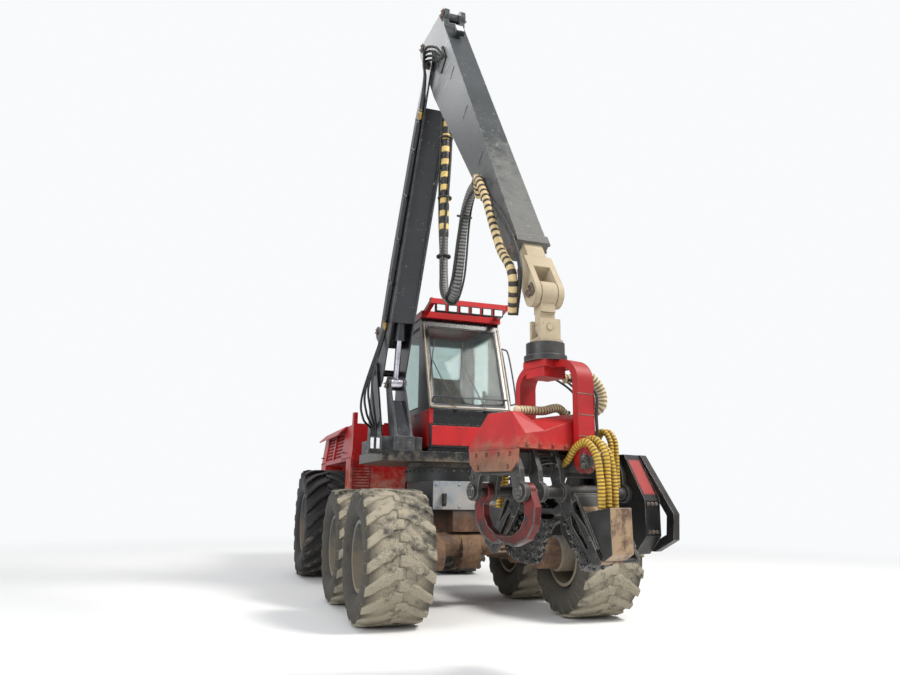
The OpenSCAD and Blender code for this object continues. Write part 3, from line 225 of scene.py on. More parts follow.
def caked(name, base, mud, cover=0.6, roughness=0.9, distance=0.006, scale=7.0, low=0.0, high=3.0,
          tread=None):
    """Rubber or iron under dried mud. Its tone is mottled at random between a pale, lit copy and a shaded
    copy of the mud's colour, painted highlight and painted shade, and sharp edges lean to the lit copy as a
    painted highlight. On a tyre
    the mud is thick on the lugs' tops and thin in the grooves, where the dark rubber stands as painted shade:
    tread holds the groove's floor and the lug's top as shares of the diameter, and the share left in a
    groove."""
    r = Recipe(name)
    lumps = r.noise(scale, 9.0, 0.72)
    fine = r.noise(70.0, 5.0, 0.75)
    broad = r.noise(1.9, 4.0)
    height = r.add("ShaderNodeSeparateXYZ", {"Vector": r.coordinates.outputs["Object"]}).outputs["Z"]
    settled = r.step(height, high, low, 0.0, 0.22)
    amount = r.maths("ADD", r.maths("MULTIPLY", lumps, 0.85),
                     r.maths("ADD", r.maths("MULTIPLY", broad, 0.3), settled))
    mask = r.step(amount, 0.95 - 0.5 * cover, 1.15 - 0.5 * cover)
    # A pale, lit copy and a shaded copy of the mud's colour, painted highlight and painted shade, mixed at
    # random in fine mottling.
    pale, shaded_mud = toned(mud, 1.35), toned(mud, 0.55)
    mud_and_painted_light = r.mix(r.step(fine, 0.32, 0.72), shaded_mud, pale)
    mud_and_painted_light = r.mix(r.step(broad, 0.35, 0.7), mud_and_painted_light, mud)
    edge, rounded = r.edges(0.010)
    share = 0.93
    # On a tyre the mud thins toward the grooves, so the dark rubber shows there: painted shade in the
    # grooves.
    if tread:
        groove, top, least = tread
        wheel = r.add("ShaderNodeMapping", {"Vector": r.coordinates.outputs["Generated"],
                                            "Location": (0, -0.5, -0.5), "Scale": (0, 1, 1)}).outputs[0]
        out = r.add("ShaderNodeVectorMath", {0: wheel}, operation="LENGTH").outputs["Value"]
        share = r.step(out, groove, top, least, 0.95)
    colour = r.mix(r.maths("MULTIPLY", mask, share), base, mud_and_painted_light)
    # Sharp edges lean to the pale, lit copy of the mud: a painted highlight on the edges.
    colour = r.mix(r.maths("MULTIPLY", edge, 0.35), colour, pale)
    bump = r.maths("ADD", r.maths("MULTIPLY", amount, 0.8), r.maths("MULTIPLY", fine, 0.25))
    return r.finish(colour, r.step(mask, 0.0, 1.0, roughness - 0.25, roughness), bump, distance, rounded)


def cast_iron(name, colour, rust, roughness=0.55, amount=0.4, metal=0.35, zone=None):
    """Oily steel castings with rust and bright rubbed edges. A zone, in the head's axes, is the low and the
    high corner of a box, mirrored in y, and the colour inside it."""
    r = Recipe(name)
    patch = r.noise(8.0, 9.0, 0.72)
    fine = r.noise(110.0, 4.0, 0.8)
    oil = r.noise(3.2, 5.0, 0.6)
    mask, rounded = r.edges(0.008)
    body = r.mix(r.step(oil, 0.35, 0.65), toned(colour, 0.4), colour)
    body = r.mix(r.step(patch, 0.68 - 0.3 * amount, 0.80 - 0.25 * amount), body, rust)
    if zone:
        local = r.add("ShaderNodeMapping", {"Vector": r.coordinates.outputs["Object"], "Location": HEAD,
                                            "Rotation": (0, 0, HEAD_YAW)}, vector_type="TEXTURE").outputs[0]
        axes = r.add("ShaderNodeSeparateXYZ", {"Vector": local}).outputs
        values = axes["X"], r.maths("ABSOLUTE", axes["Y"]), axes["Z"]
        low, high, zone_colour = zone
        inside = 1.0
        for value, least, most in zip(values, low, high):
            inside = r.maths("MULTIPLY", r.maths("GREATER_THAN", value, least), inside)
            inside = r.maths("MULTIPLY", r.maths("LESS_THAN", value, most), inside)
        crust = r.mix(r.step(patch, 0.42, 0.60), zone_colour, rust)
        body = r.mix(inside, body, crust)
    bright = r.mix(r.maths("MULTIPLY", mask, r.step(patch, 0.35, 0.6)), body, rgba(150, 148, 142))
    rough = r.step(r.maths("ADD", r.maths("MULTIPLY", oil, 0.6), r.maths("MULTIPLY", fine, 0.4)), 0.25, 0.75,
                   roughness - 0.22, roughness + 0.25)
    bump = r.maths("ADD", r.maths("MULTIPLY", patch, 0.6), r.maths("MULTIPLY", fine, 0.35))
    return r.finish(bright, rough, bump, 0.0018, rounded, metal)


def bright_rod(name, colour, roughness=0.12):
    """Hard chrome with an oil film and fine drag lines."""
    r = Recipe(name)
    film = r.noise(5.0, 4.0)
    drag = r.noise(30.0, 3.0, 0.6, (1.0, 1.0, 0.05))
    tint = r.mix(r.step(film, 0.4, 0.7), colour, toned(colour, 0.6))
    return r.finish(tint, r.step(drag, 0.3, 0.8, roughness, roughness + 0.25), drag, 0.0004, None, 1.0)


def window_glass(name):
    """Tinted cab glazing with patches of dust."""
    r = Recipe(name)
    dust = r.noise(6.0, 8.0, 0.7)
    smear = r.noise(3.0, 4.0, 0.6, (1.0, 1.0, 0.3))
    colour = r.mix(r.step(dust, 0.45, 0.8, 0.0, 0.35), rgba(206, 220, 218), rgba(190, 184, 170))
    r.shader.inputs["Transmission Weight"].default_value = 0.96
    r.shader.inputs["IOR"].default_value = 1.12
    return r.finish(colour, r.step(smear, 0.45, 0.8, 0.02, 0.16), smear, 0.0002)


def hose_skin(name, colour, band, pitch, share=0.5, roughness=0.5, dirt=0.4):
    """Corrugated or wound hose: bands along its length, from the tube's own length map."""
    r = Recipe(name)
    along = r.add("ShaderNodeSeparateXYZ", {"Vector": r.coordinates.outputs["UV"]}).outputs["X"]
    wave = r.maths("FRACT", r.maths("DIVIDE", along, pitch))
    ring = r.step(wave, share - 0.06, share + 0.06)
    grime = r.step(r.noise(12.0, 8.0, 0.7), 0.5, 0.75, 0.0, dirt)
    tint = r.mix(ring, colour, band)
    tint = r.mix(grime, tint, rgba(70, 62, 50))
    bump = r.maths("PINGPONG", r.maths("DIVIDE", along, pitch), 0.5)
    return r.finish(tint, r.step(r.noise(40.0), 0.3, 0.7, roughness - 0.1, roughness + 0.2), bump, 0.004)


def lamp_lens(name):
    """Pressed lamp glass in small cells."""
    r = Recipe(name)
    cells = r.add("ShaderNodeTexVoronoi",
                  {"Vector": r.coordinates.outputs["Object"], "Scale": 60.0}).outputs["Distance"]
    dust = r.step(r.noise(20.0), 0.4, 0.8, 0.0, 0.4)
    tint = r.mix(dust, rgba(206, 210, 212), rgba(150, 144, 132))
    return r.finish(tint, r.step(cells, 0.0, 1.0, 0.08, 0.3), cells, 0.002)


def cloth_seat(name):
    """Brown seat cloth, worn pale in patches."""
    r = Recipe(name)
    weave = r.add("ShaderNodeTexWave", {"Vector": r.coordinates.outputs["Object"], "Scale": 90.0,
                                        "Distortion": 2.0}).outputs["Fac"]
    worn = r.noise(5.0, 6.0)
    tint = r.mix(r.step(worn, 0.35, 0.7), rgba(84, 52, 34), rgba(128, 84, 58))
    return r.finish(tint, r.step(weave, 0.0, 1.0, 0.75, 0.95), weave, 0.0008)


FINISHES = {}


def make_finishes(paint):
    """Every finish under its short name."""
    red = paint.red_paint[:] + (1.0,)
    roller_arm_box = ((-0.0595, 0.375, -0.62), (0.135, 0.70, -0.255), rgba(156, 132, 104))
    # Tyre tread shares: mud full on the lugs' tops and thin in the grooves, where the dark rubber is painted
    # shade.
    lug_mud_and_groove_shade = (0.468, 0.482, 0.16)
    FINISHES.update({
        "red": painted("red_paint", red, rgba(118, 96, 84), 0.36, dirt=0.42, wear=0.35),
        "head_red": painted("head_red_paint", red, rgba(76, 60, 54), 0.46, grime=rgba(112, 92, 74),
                            dirt=0.45, wear=0.55, low=1.15, high=1.72, hem=(1.40, 1.56, rgba(74, 58, 48))),
        "cover_red": painted("cover_paint", red, rgba(84, 62, 54), 0.5, grime=rgba(140, 112, 84),
                             dirt=0.6, wear=0.55, low=1.35, high=1.80, hem=(1.44, 1.70, rgba(104, 88, 72))),
        "worn_red": painted("worn_red_paint", rgba(150, 30, 30), rgba(64, 54, 50), 0.55,
                            grime=rgba(62, 50, 44), dirt=0.8, wear=0.9, low=0.3, high=0.6, edge=0.02),
        "cab_black": painted("cab_paint", rgba(24, 25, 27), rgba(104, 98, 88), 0.30, dirt=0.16, wear=0.4,
                             low=1.5, high=2.1),
        "chassis": painted("chassis_paint", rgba(26, 27, 29), rgba(92, 84, 76), 0.45, grime=rgba(96, 84, 72),
                           dirt=0.35, wear=0.5, low=0.9, high=1.5, hem=(1.03, 1.10, rgba(112, 78, 56))),
        "arm_iron": cast_iron("roller_arms", rgba(58, 57, 56), rgba(92, 70, 58), 0.5, 0.3,
                              zone=roller_arm_box),
        # A darker red for the louvres on the hood's front wall: painted shade on that wall.
        "painted_shade_red": painted("shaded_red_paint", rgba(132, 24, 28), rgba(70, 52, 46), 0.45, dirt=0.35,
                            wear=0.5, low=0.6, high=1.6),
        "black": painted("black_paint", rgba(30, 32, 35), rgba(116, 116, 112), 0.40, dirt=0.3, wear=0.5),
        "crane": painted("crane_paint", rgba(34, 37, 43), rgba(150, 150, 148), 0.34, grime=rgba(96, 94, 90),
                         dirt=0.2, wear=0.75, low=1.6, high=2.6, streak=0.3),
        "jib": painted("jib_paint", rgba(56, 61, 64), rgba(160, 160, 156), 0.42, grime=rgba(120, 118, 112),
                       dirt=0.35, wear=0.8, low=3.0, high=6.0),
        "plate": painted("bare_plate", rgba(120, 134, 148), rgba(176, 178, 176), 0.45, dirt=0.35, wear=0.8),
        "rim": painted("rim_paint", rgba(104, 108, 110), rgba(140, 132, 120), 0.5, grime=MUD, dirt=0.7,
                       wear=0.4, low=0.2, high=1.4),
        "tan_tyre": caked("bogie_tyre", rgba(34, 33, 32), rgba(150, 142, 124), 0.74, tread=lug_mud_and_groove_shade),
        "dark_tyre": caked("rear_tyre", rgba(26, 26, 27), rgba(112, 104, 92), 0.42, tread=lug_mud_and_groove_shade),
        "muddy": caked("muddy_steel", rgba(70, 50, 40), rgba(122, 96, 72), 0.6),
        "iron": cast_iron("head_castings", rgba(70, 69, 68), rgba(104, 74, 58), 0.5, 0.3),
        "dark_iron": cast_iron("oily_castings", rgba(36, 35, 35), rgba(72, 52, 44), 0.42, 0.25),
        "rusty": cast_iron("rusty_steel", rgba(104, 84, 70), rgba(124, 74, 48), 0.65, 0.7, 0.15),
        "knife": cast_iron("knife_steel", rgba(104, 28, 24), rgba(40, 34, 32), 0.42, 0.75, 0.3),
        "chrome": bright_rod("chrome", rgba(206, 204, 216)),
        "cream": painted("cream_steel", rgba(190, 178, 150), rgba(120, 84, 62), 0.55, dirt=0.5, wear=0.6,
                         low=2.0, high=6.0),
        "glass": window_glass("cab_glazing"),
        "lens": lamp_lens("lamp_lens"),
        "rubber": caked("black_rubber", rgba(26, 26, 27), rgba(92, 86, 76), 0.2, 0.75, 0.001, 20.0),
        "yellow_hose": hose_skin("yellow_wound_hose", rgba(196, 158, 52), rgba(120, 96, 34), 0.022),
        "tan_hose": hose_skin("tan_banded_hose", rgba(196, 172, 124), rgba(48, 42, 36), 0.075, 0.55),
        "cream_hose": hose_skin("cream_wound_hose", rgba(206, 192, 156), rgba(128, 112, 82), 0.026),
        "striped_hose": hose_skin("striped_sleeve", rgba(206, 176, 104), rgba(30, 29, 27), 0.15, 0.42),
        "grey_hose": hose_skin("grey_wound_hose", rgba(112, 112, 110), rgba(52, 52, 52), 0.034),
        "black_hose": hose_skin("black_hose", rgba(26, 26, 28), rgba(34, 34, 36), 0.012),
        "brass": cast_iron("brass_fittings", rgba(178, 146, 74), rgba(110, 88, 50), 0.35, 0.2, 0.8),
        "seat": cloth_seat("seat_cloth"),
    })


NODE_FINISH = {
    "front_frame": "chassis", "bogie_axle": "muddy", "bogie_beams": "muddy", "rear_frame": "chassis",
    "rear_axle": "muddy", "engine": "dark_iron", "hood": "red", "hood_grilles": "red", "hood_lid": "red",
    "platform": "cab_black", "crane_post": "crane", "cab_shell": "cab_black", "cab_roof": "red",
    "work_lamps": "black", "cab_glass": "glass", "cab_seat": "seat", "cab_rails": "black",
    "cab_door": "cab_black", "door_glass": "glass", "lift_barrel": "crane", "lift_rod": "chrome",
    "main_boom": "crane", "boom_hoses": "black_hose", "jib_barrel": "crane", "jib_rod": "chrome",
    "jib": "jib", "jib_hose": "grey_hose", "jib_extension": "cream", "tip_link": "cream",
    "brake_link": "cream", "rotator": "iron", "tilt_frame": "head_red", "head_frame": "iron",
    "head_cover": "cover_red", "head_hoses": "yellow_hose", "knife_near": "knife", "knife_far": "knife",
    "roller_arm_near": "arm_iron", "roller_arm_far": "arm_iron", "feed_roller_near": "dark_iron",
    "feed_roller_far": "dark_iron", "saw_box": "dark_iron", "saw_bar": "iron",
}
for wheel in WHEELS:
    NODE_FINISH["rim_" + wheel] = "rim"
    NODE_FINISH["tyre_" + wheel] = "dark_tyre" if wheel.startswith("rear") else "tan_tyre"


# Shapes


def smoothed(mesh):
    """Shades a mesh smooth."""
    for polygon in mesh.polygons:
        polygon.use_smooth = True
    return mesh


def round_edges(thing, name, width, angle=35):
    """Rounds the edges that turn by more than an angle."""
    edge = thing.modifiers.new(name, "BEVEL")
    edge.width, edge.segments, edge.limit_method, edge.angle_limit = width, 2, "ANGLE", math.radians(angle)


def piece(name, mesh, finish, body=None, smooth=False):
    """A finished mesh, on its body where one is given."""
    thing = bpy.data.objects.new(name, mesh)
    bpy.context.scene.collection.objects.link(thing)
    thing.data.materials.append(FINISHES[finish])
    if smooth:
        smoothed(mesh)
    if body:
        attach(thing, body)
    return thing


def mesh_from(name, build):
    """A mesh from a function that adds to it, with its faces turned outward."""
    work = bmesh.new()
    build(work)
    bmesh.ops.recalc_face_normals(work, faces=work.faces)
    mesh = bpy.data.meshes.new(name)
    work.to_mesh(mesh)
    work.free()
    return mesh


def hose_mesh(name, points, radius, around=12, spacing=0.012, ribs=0.0, pitch=0.03):
    """A round hose along a smooth run, with its length as the map's X."""
    path = smooth_run(points, spacing)
    mesh = bpy.data.meshes.new(name)
    verts, faces, along = [], [], []
    travelled = 0.0
    side = None
    for i, p in enumerate(path):
        if i:
            travelled += (p - path[i - 1]).length
        tangent = (path[min(i + 1, len(path) - 1)] - path[max(i - 1, 0)]).normalized()
        if side is None:
            side = tangent.orthogonal().normalized()
        side = (side - tangent * side.dot(tangent)).normalized()
        up = tangent.cross(side)
        r = radius * (1 + ribs * math.cos(2 * math.pi * travelled / pitch))
        for k in range(around):
            a = 2 * math.pi * k / around
            verts.append(p + r * (math.cos(a) * side + math.sin(a) * up))
        along.append(travelled)
    for i in range(len(path) - 1):
        for k in range(around):
            j = (k + 1) % around
            faces.append((i * around + k, i * around + j, (i + 1) * around + j, (i + 1) * around + k))
    faces.append(tuple(range(around))[::-1])
    faces.append(tuple((len(path) - 1) * around + k for k in range(around)))
    mesh.from_pydata(verts, [], faces)
    layer = mesh.uv_layers.new(name="length")
    for loop in mesh.loops:
        layer.data[loop.index].uv = (along[loop.vertex_index // around],
                                     (loop.vertex_index % around) / around)
    return smoothed(mesh)


def smooth_run(points, spacing):
    """Points at an even spacing on the smooth curve through the given ones."""
    points = [Vector(p) for p in points]
    ends = [2 * points[0] - points[1]] + points + [2 * points[-1] - points[-2]]
    run = []
    for i in range(1, len(ends) - 2):
        a, b, c, d = ends[i - 1:i + 3]
        count = max(2, round((c - b).length / spacing))
        for k in range(count):
            t = k / count
            run.append(0.5 * (2 * b + (c - a) * t + (2 * a - 5 * b + 4 * c - d) * t * t
                              + (3 * b - a - 3 * c + d) * t ** 3))
    run.append(points[-1])
    return run


def circle(count, radius, start=0.0):
    """Points spread evenly on a circle round the origin, as pairs."""
    angles = [start + 2 * math.pi * k / count for k in range(count)]
    return [(radius * math.cos(a), radius * math.sin(a)) for a in angles]


def bolt(work, place, direction, across=0.03, height=0.016):
    """A hex head on its washer."""
    turn = direction.to_track_quat("Z", "Y").to_matrix().to_4x4()
    at = Matrix.Translation(place) @ turn
    bmesh.ops.create_cone(work, cap_ends=True, segments=16, radius1=across * 0.72, radius2=across * 0.72,
                          depth=height * 0.3, matrix=at @ Matrix.Translation((0, 0, height * 0.1)))
    bmesh.ops.create_cone(work, cap_ends=True, segments=6, radius1=across * 0.58, radius2=across * 0.54,
                          depth=height, matrix=at @ Matrix.Translation((0, 0, height * 0.7)))


def frame_of(start, angle):
    """Local axes of a crane arm: along it, to its belly, across."""
    turn = Matrix(((0, 0, 1), (math.cos(angle), -math.sin(angle), 0), (math.sin(angle), math.cos(angle), 0)))
    return Matrix.Translation(start) @ turn.to_4x4()


BOOM = frame_of(FOOT, BOOM_ANGLE)
JIB = frame_of(KNUCKLE, JIB_ANGLE)
HEAD_AXES = Matrix.Translation(HEAD) @ Matrix.Rotation(HEAD_YAW, 4, "Z")
CAB = Matrix.Translation((CAB_X, BOGIE_Y, 0))
POST = Matrix.Translation((CRANE_X, BOGIE_Y, 0))
CHASSIS = Matrix.Translation((0, BOGIE_Y, 0))
PLAIN = Matrix.Identity(4)


def block(work, low, high, place=PLAIN):
    """A box between two corners, in a place's own axes."""
    low, high = Vector(low), Vector(high)
    size = Matrix.Diagonal((high - low).to_4d())
    size[3][3] = 1
    bmesh.ops.create_cube(work, size=1.0, matrix=place @ Matrix.Translation((low + high) / 2) @ size)


def round_bar(work, start, end, radius, place=PLAIN, segments=24, tip=None):
    """A round bar, or a cone where the radius at its tip differs."""
    start, end = place @ Vector(start), place @ Vector(end)
    turn = (end - start).to_track_quat("Z", "Y").to_matrix().to_4x4()
    bmesh.ops.create_cone(work, cap_ends=True, segments=segments, radius1=radius,
                          radius2=radius if tip is None else tip, depth=(end - start).length,
                          matrix=Matrix.Translation((start + end) / 2) @ turn)


def prism(work, start, end):
    """A closed solid between two like rings of points."""
    rows = [[work.verts.new(point) for point in ring] for ring in (start, end)]
    count = len(start)
    for k in range(count):
        work.faces.new((rows[0][k], rows[0][(k + 1) % count], rows[1][(k + 1) % count], rows[1][k]))
    work.faces.new(rows[0][::-1])
    work.faces.new(rows[1])


def screw(work, place, at, direction, across=0.03, height=0.016):
    """A bolt given in a place's own axes."""
    bolt(work, place @ Vector(at), place.to_3x3() @ Vector(direction), across, height)


def pin_cap(work, place, at, direction, radius):
    """End of a crane pin: domed cap, keeper plate with two bolts, and a grease nipple."""
    at, direction = Vector(at), Vector(direction)
    round_bar(work, at - direction * 0.004, at + direction * 0.012, radius, place, 40)
    round_bar(work, at + direction * 0.012, at + direction * 0.020, radius * 0.82, place, 40, radius * 0.62)
    round_bar(work, at + direction * 0.020, at + direction * 0.034, 0.006, place, 8)
    side = Vector((direction.y, direction.z, direction.x))
    other = direction.cross(side)
    for s in SIDES:
        tab = at + side * (radius + 0.018) + other * s * 0.022
        screw(work, place, tab + direction * 0.006, direction, 0.022, 0.012)
    centre = at + side * (radius + 0.014)
    reach = [abs(side[i]) * 0.026 + abs(other[i]) * 0.045 + abs(direction[i]) * 0.006 for i in range(3)]
    block(work, [centre[i] - reach[i] for i in range(3)], [centre[i] + reach[i] for i in range(3)], place)


def part(name, finish, body, build, bevel=0.003, smooth=False):
    """A piece built by a function, with its edges rounded."""
    thing = piece(name, mesh_from(name, build), finish, body, smooth=smooth)
    if bevel:
        round_edges(thing, "rounded_edges", bevel)
    return thing


def hose(name, points, radius, finish, body, other=None, ribs=0.0, pitch=0.026, spacing=0.014):
    """A hose on one body, or one that runs from one body to the next and is left on neither."""
    thing = piece(name, hose_mesh(name, points, radius, 12, spacing, ribs, pitch), finish,
                  None if other else body)
    if other:
        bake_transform(thing)
    return thing


def inflate(pad, cap):
    """Blows a cushion up a little with Cloth, keeps each point near where it was, and applies the result."""
    scene = bpy.context.scene
    bpy.ops.object.select_all(action="DESELECT")
    bpy.context.view_layer.objects.active = pad
    pad.select_set(True)
    remesh = pad.modifiers.new("even_mesh", "REMESH")
    remesh.mode, remesh.voxel_size = "VOXEL", 0.006
    bpy.ops.object.modifier_apply(modifier="even_mesh")
    before = [v.co.copy() for v in pad.data.vertices]
    cloth = pad.modifiers.new("cloth", "CLOTH")
    cloth.settings.use_pressure = True
    cloth.settings.uniform_pressure_force = 4.0
    cloth.settings.effector_weights.gravity = 0.0
    for number in range(1, 21):
        scene.frame_set(number)
    swollen = [v.co.copy() for v in pad.evaluated_get(bpy.context.evaluated_depsgraph_get()).data.vertices]
    pad.modifiers.remove(cloth)
    scene.frame_set(1)
    for vertex, a, b in zip(pad.data.vertices, before, swollen):
        step = b - a
        vertex.co = a + step * min(1.0, cap / max(step.length, 1e-6))
    smoothed(pad.data)
    pad.modifiers.new("smooth", "SUBSURF").levels = 1


def ferrule(work, at, direction, radius, place=PLAIN, length=0.06):
    """Crimped hose end: sleeve, hexagon and neck."""
    at, direction = Vector(at), Vector(direction).normalized()
    hexagon, neck, tip = (at + direction * (length + more) for more in (0, 0.022, 0.05))
    round_bar(work, at, hexagon, radius * 1.22, place, 16, radius * 1.14)
    round_bar(work, hexagon, neck, radius * 1.45, place, 6)
    round_bar(work, neck, tip, radius * 0.9, place, 16)


def strip_loop(work, corners, inward, wide, thick):
    """A flat rubber strip round an opening, its corners given in order."""
    corners = [Vector(c) for c in corners]
    middle = sum(corners, Vector()) / len(corners)
    inward = Vector(inward).normalized()
    inner = [c + (middle - c).normalized() * wide * 1.4142 for c in corners]
    for level in (0, thick):
        for i in range(4):
            quad = corners[i], corners[(i + 1) % 4], inner[(i + 1) % 4], inner[i]
            work.faces.new([work.verts.new(q + inward * level) for q in quad])
    for ring in (corners, inner):
        for i in range(4):
            a, b = ring[i], ring[(i + 1) % 4]
            work.faces.new([work.verts.new(q) for q in (a, b, b + inward * thick, a + inward * thick)])
    bmesh.ops.remove_doubles(work, verts=work.verts, dist=0.0001)


# Tyres


CARCASS_SEGMENTS = 96
LUG_SINK = 0.004
LUG_TOP = 0.82


def tread_tyre(name, node, lugs, tall, wide, turns):
    """A lugged tyre: a lathe-turned carcass, and a bent bar of rubber for each lug. Along a lug's track, wide
    holds its widths and turns how far it has gone round, in lug pitches."""
    low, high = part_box(node)
    radius = (high.z - low.z) / 2
    half = (high.x - low.x) / 2
    rim = rim_radius(radius)
    base = radius - tall
    outline = [(rim + 0.004, 0.70 * half), (rim + 0.030, 0.74 * half), (rim + 0.045, 0.86 * half),
               (rim + 0.09, 0.95 * half), ((base + rim) / 2 + 0.02, half), (base - 0.085, 0.985 * half),
               (base - 0.035, 0.95 * half), (base - 0.008, 0.86 * half), (base + 0.004, 0.5 * half),
               (base + 0.006, 0.0)]
    profile = outline + [(r, -x) for r, x in outline[-2::-1]]
    # The track runs from past the middle out to the shoulder and down the side wall
    track = [(base + 0.006, -0.06 * half), (base + 0.006, 0.20 * half), (base + 0.005, 0.34 * half),
             (base + 0.004, 0.50 * half), (base, 0.72 * half), (base - 0.012, 0.90 * half),
             (base - 0.075, 0.988 * half), (base - 0.13, 0.99 * half)]
    heights = [1.0, 1.0, 1.0, 1.0, 1.0, 0.95, 0.55, 0.1]
    normals = [(1, 0), (1, 0), (1, 0), (1, 0.05), (1, 0.12), (0.85, 0.5), (0.35, 0.95), (0.2, 1)]
    pitch = 2 * math.pi / lugs

    def around(work, x, r, angle):
        return work.verts.new((x, -r * math.sin(angle), r * math.cos(angle)))

    def carcass(work):
        rings = [[around(work, x, r, 2 * math.pi * k / CARCASS_SEGMENTS) for r, x in profile]
                 for k in range(CARCASS_SEGMENTS)]
        for a, b in zip(rings, rings[1:] + rings[:1]):
            for i in range(len(profile) - 1):
                work.faces.new((a[i], a[i + 1], b[i + 1], b[i]))

    def lug(work, side, start):
        rows = []
        for (r, x), turn, share, (nr, nx), w in zip(track, turns, heights, normals, wide):
            length = math.hypot(nr, nx)
            angle = start + turn * pitch
            row = []
            for spread, lift in ((-1, -LUG_SINK), (-LUG_TOP, share * tall), (LUG_TOP, share * tall),
                                 (1, -LUG_SINK)):
                out = min(r + lift * nr / length, radius)
                across = max(-half, min(half, side * (x + lift * nx / length)))
                row.append(around(work, across, out, angle + spread * w / 2 / radius))
            rows.append(row)
        for a, b in zip(rows, rows[1:]):
            for i in range(4):
                work.faces.new((a[i], a[(i + 1) % 4], b[(i + 1) % 4], b[i]))
        work.faces.new(rows[0])
        work.faces.new(rows[-1][::-1])

    def build(work):
        carcass(work)
        for side in SIDES:
            for n in range(lugs):
                lug(work, side, (n + (0.5 if side > 0 else 0.0)) * pitch)
    mesh = mesh_from(name, build)
    mesh.transform(Matrix.Translation((low + high) / 2))
    return mesh


STEPPED = [0.0, 0.0, 0.24, 0.30, 0.56, 0.78, 0.84, 0.86]
SLANTED = [0.0, 0.22, 0.36, 0.52, 0.86, 1.14, 1.22, 1.26]
BOGIE_WIDE = [0.125, 0.125, 0.13, 0.13, 0.12, 0.115, 0.11, 0.10]
REAR_WIDE = [0.085, 0.085, 0.085, 0.09, 0.10, 0.11, 0.11, 0.10]


class HarvesterPaint(bpy.types.PropertyGroup):
    """Colours that a user would change."""
    red_paint: bpy.props.FloatVectorProperty(name="Red paint", description="Hood, cab and head cover",
                                             subtype="COLOR", size=3, min=0, max=1,
                                             default=rgba(182, 20, 24)[:3])
    floor_tone: bpy.props.FloatProperty(name="Floor tone", description="How pale the floor is",
                                        subtype="FACTOR", min=0, max=1, default=0.82)


class HarvesterSizes(bpy.types.PropertyGroup):
    """Sizes that a user would change."""
    bogie_lug: bpy.props.FloatProperty(name="Bogie lug height", description="Height of the bogie tyres' lugs",
                                       unit="LENGTH", default=0.030)
    rear_lug: bpy.props.FloatProperty(name="Rear lug height", description="Height of the rear tyres' lugs",
                                      unit="LENGTH", default=0.055)


# The stage: the background's white, the sky's light on the part, and where the camera stands

WHITE = (0.97, 0.985, 1.0, 1.0)
WHITE_LEVEL = 0.97
SKY_LEVEL = 0.62
LAMPS = (("key_lamp", (7.0, -9.0, 13.0), 4.0, 2600, (1.0, 0.97, 0.92)),
         ("fill_lamp", (-10.0, -8.0, 6.0), 6.0, 700, (0.93, 0.96, 1.0)),
         ("back_lamp", (-3.0, 9.0, 17.0), 9.0, 900, (1.0, 1.0, 1.0)))
LAMPS_AIM = Vector((0, -1.5, 1.5))
CAMERA = Vector((-2.90, BOGIE_Y - 7.99, 1.27))
CAMERA_YAW, CAMERA_PITCH, CAMERA_ROLL = math.radians(18.4), math.radians(12.7), math.radians(0.8)
CAMERA_LENS = 28.0


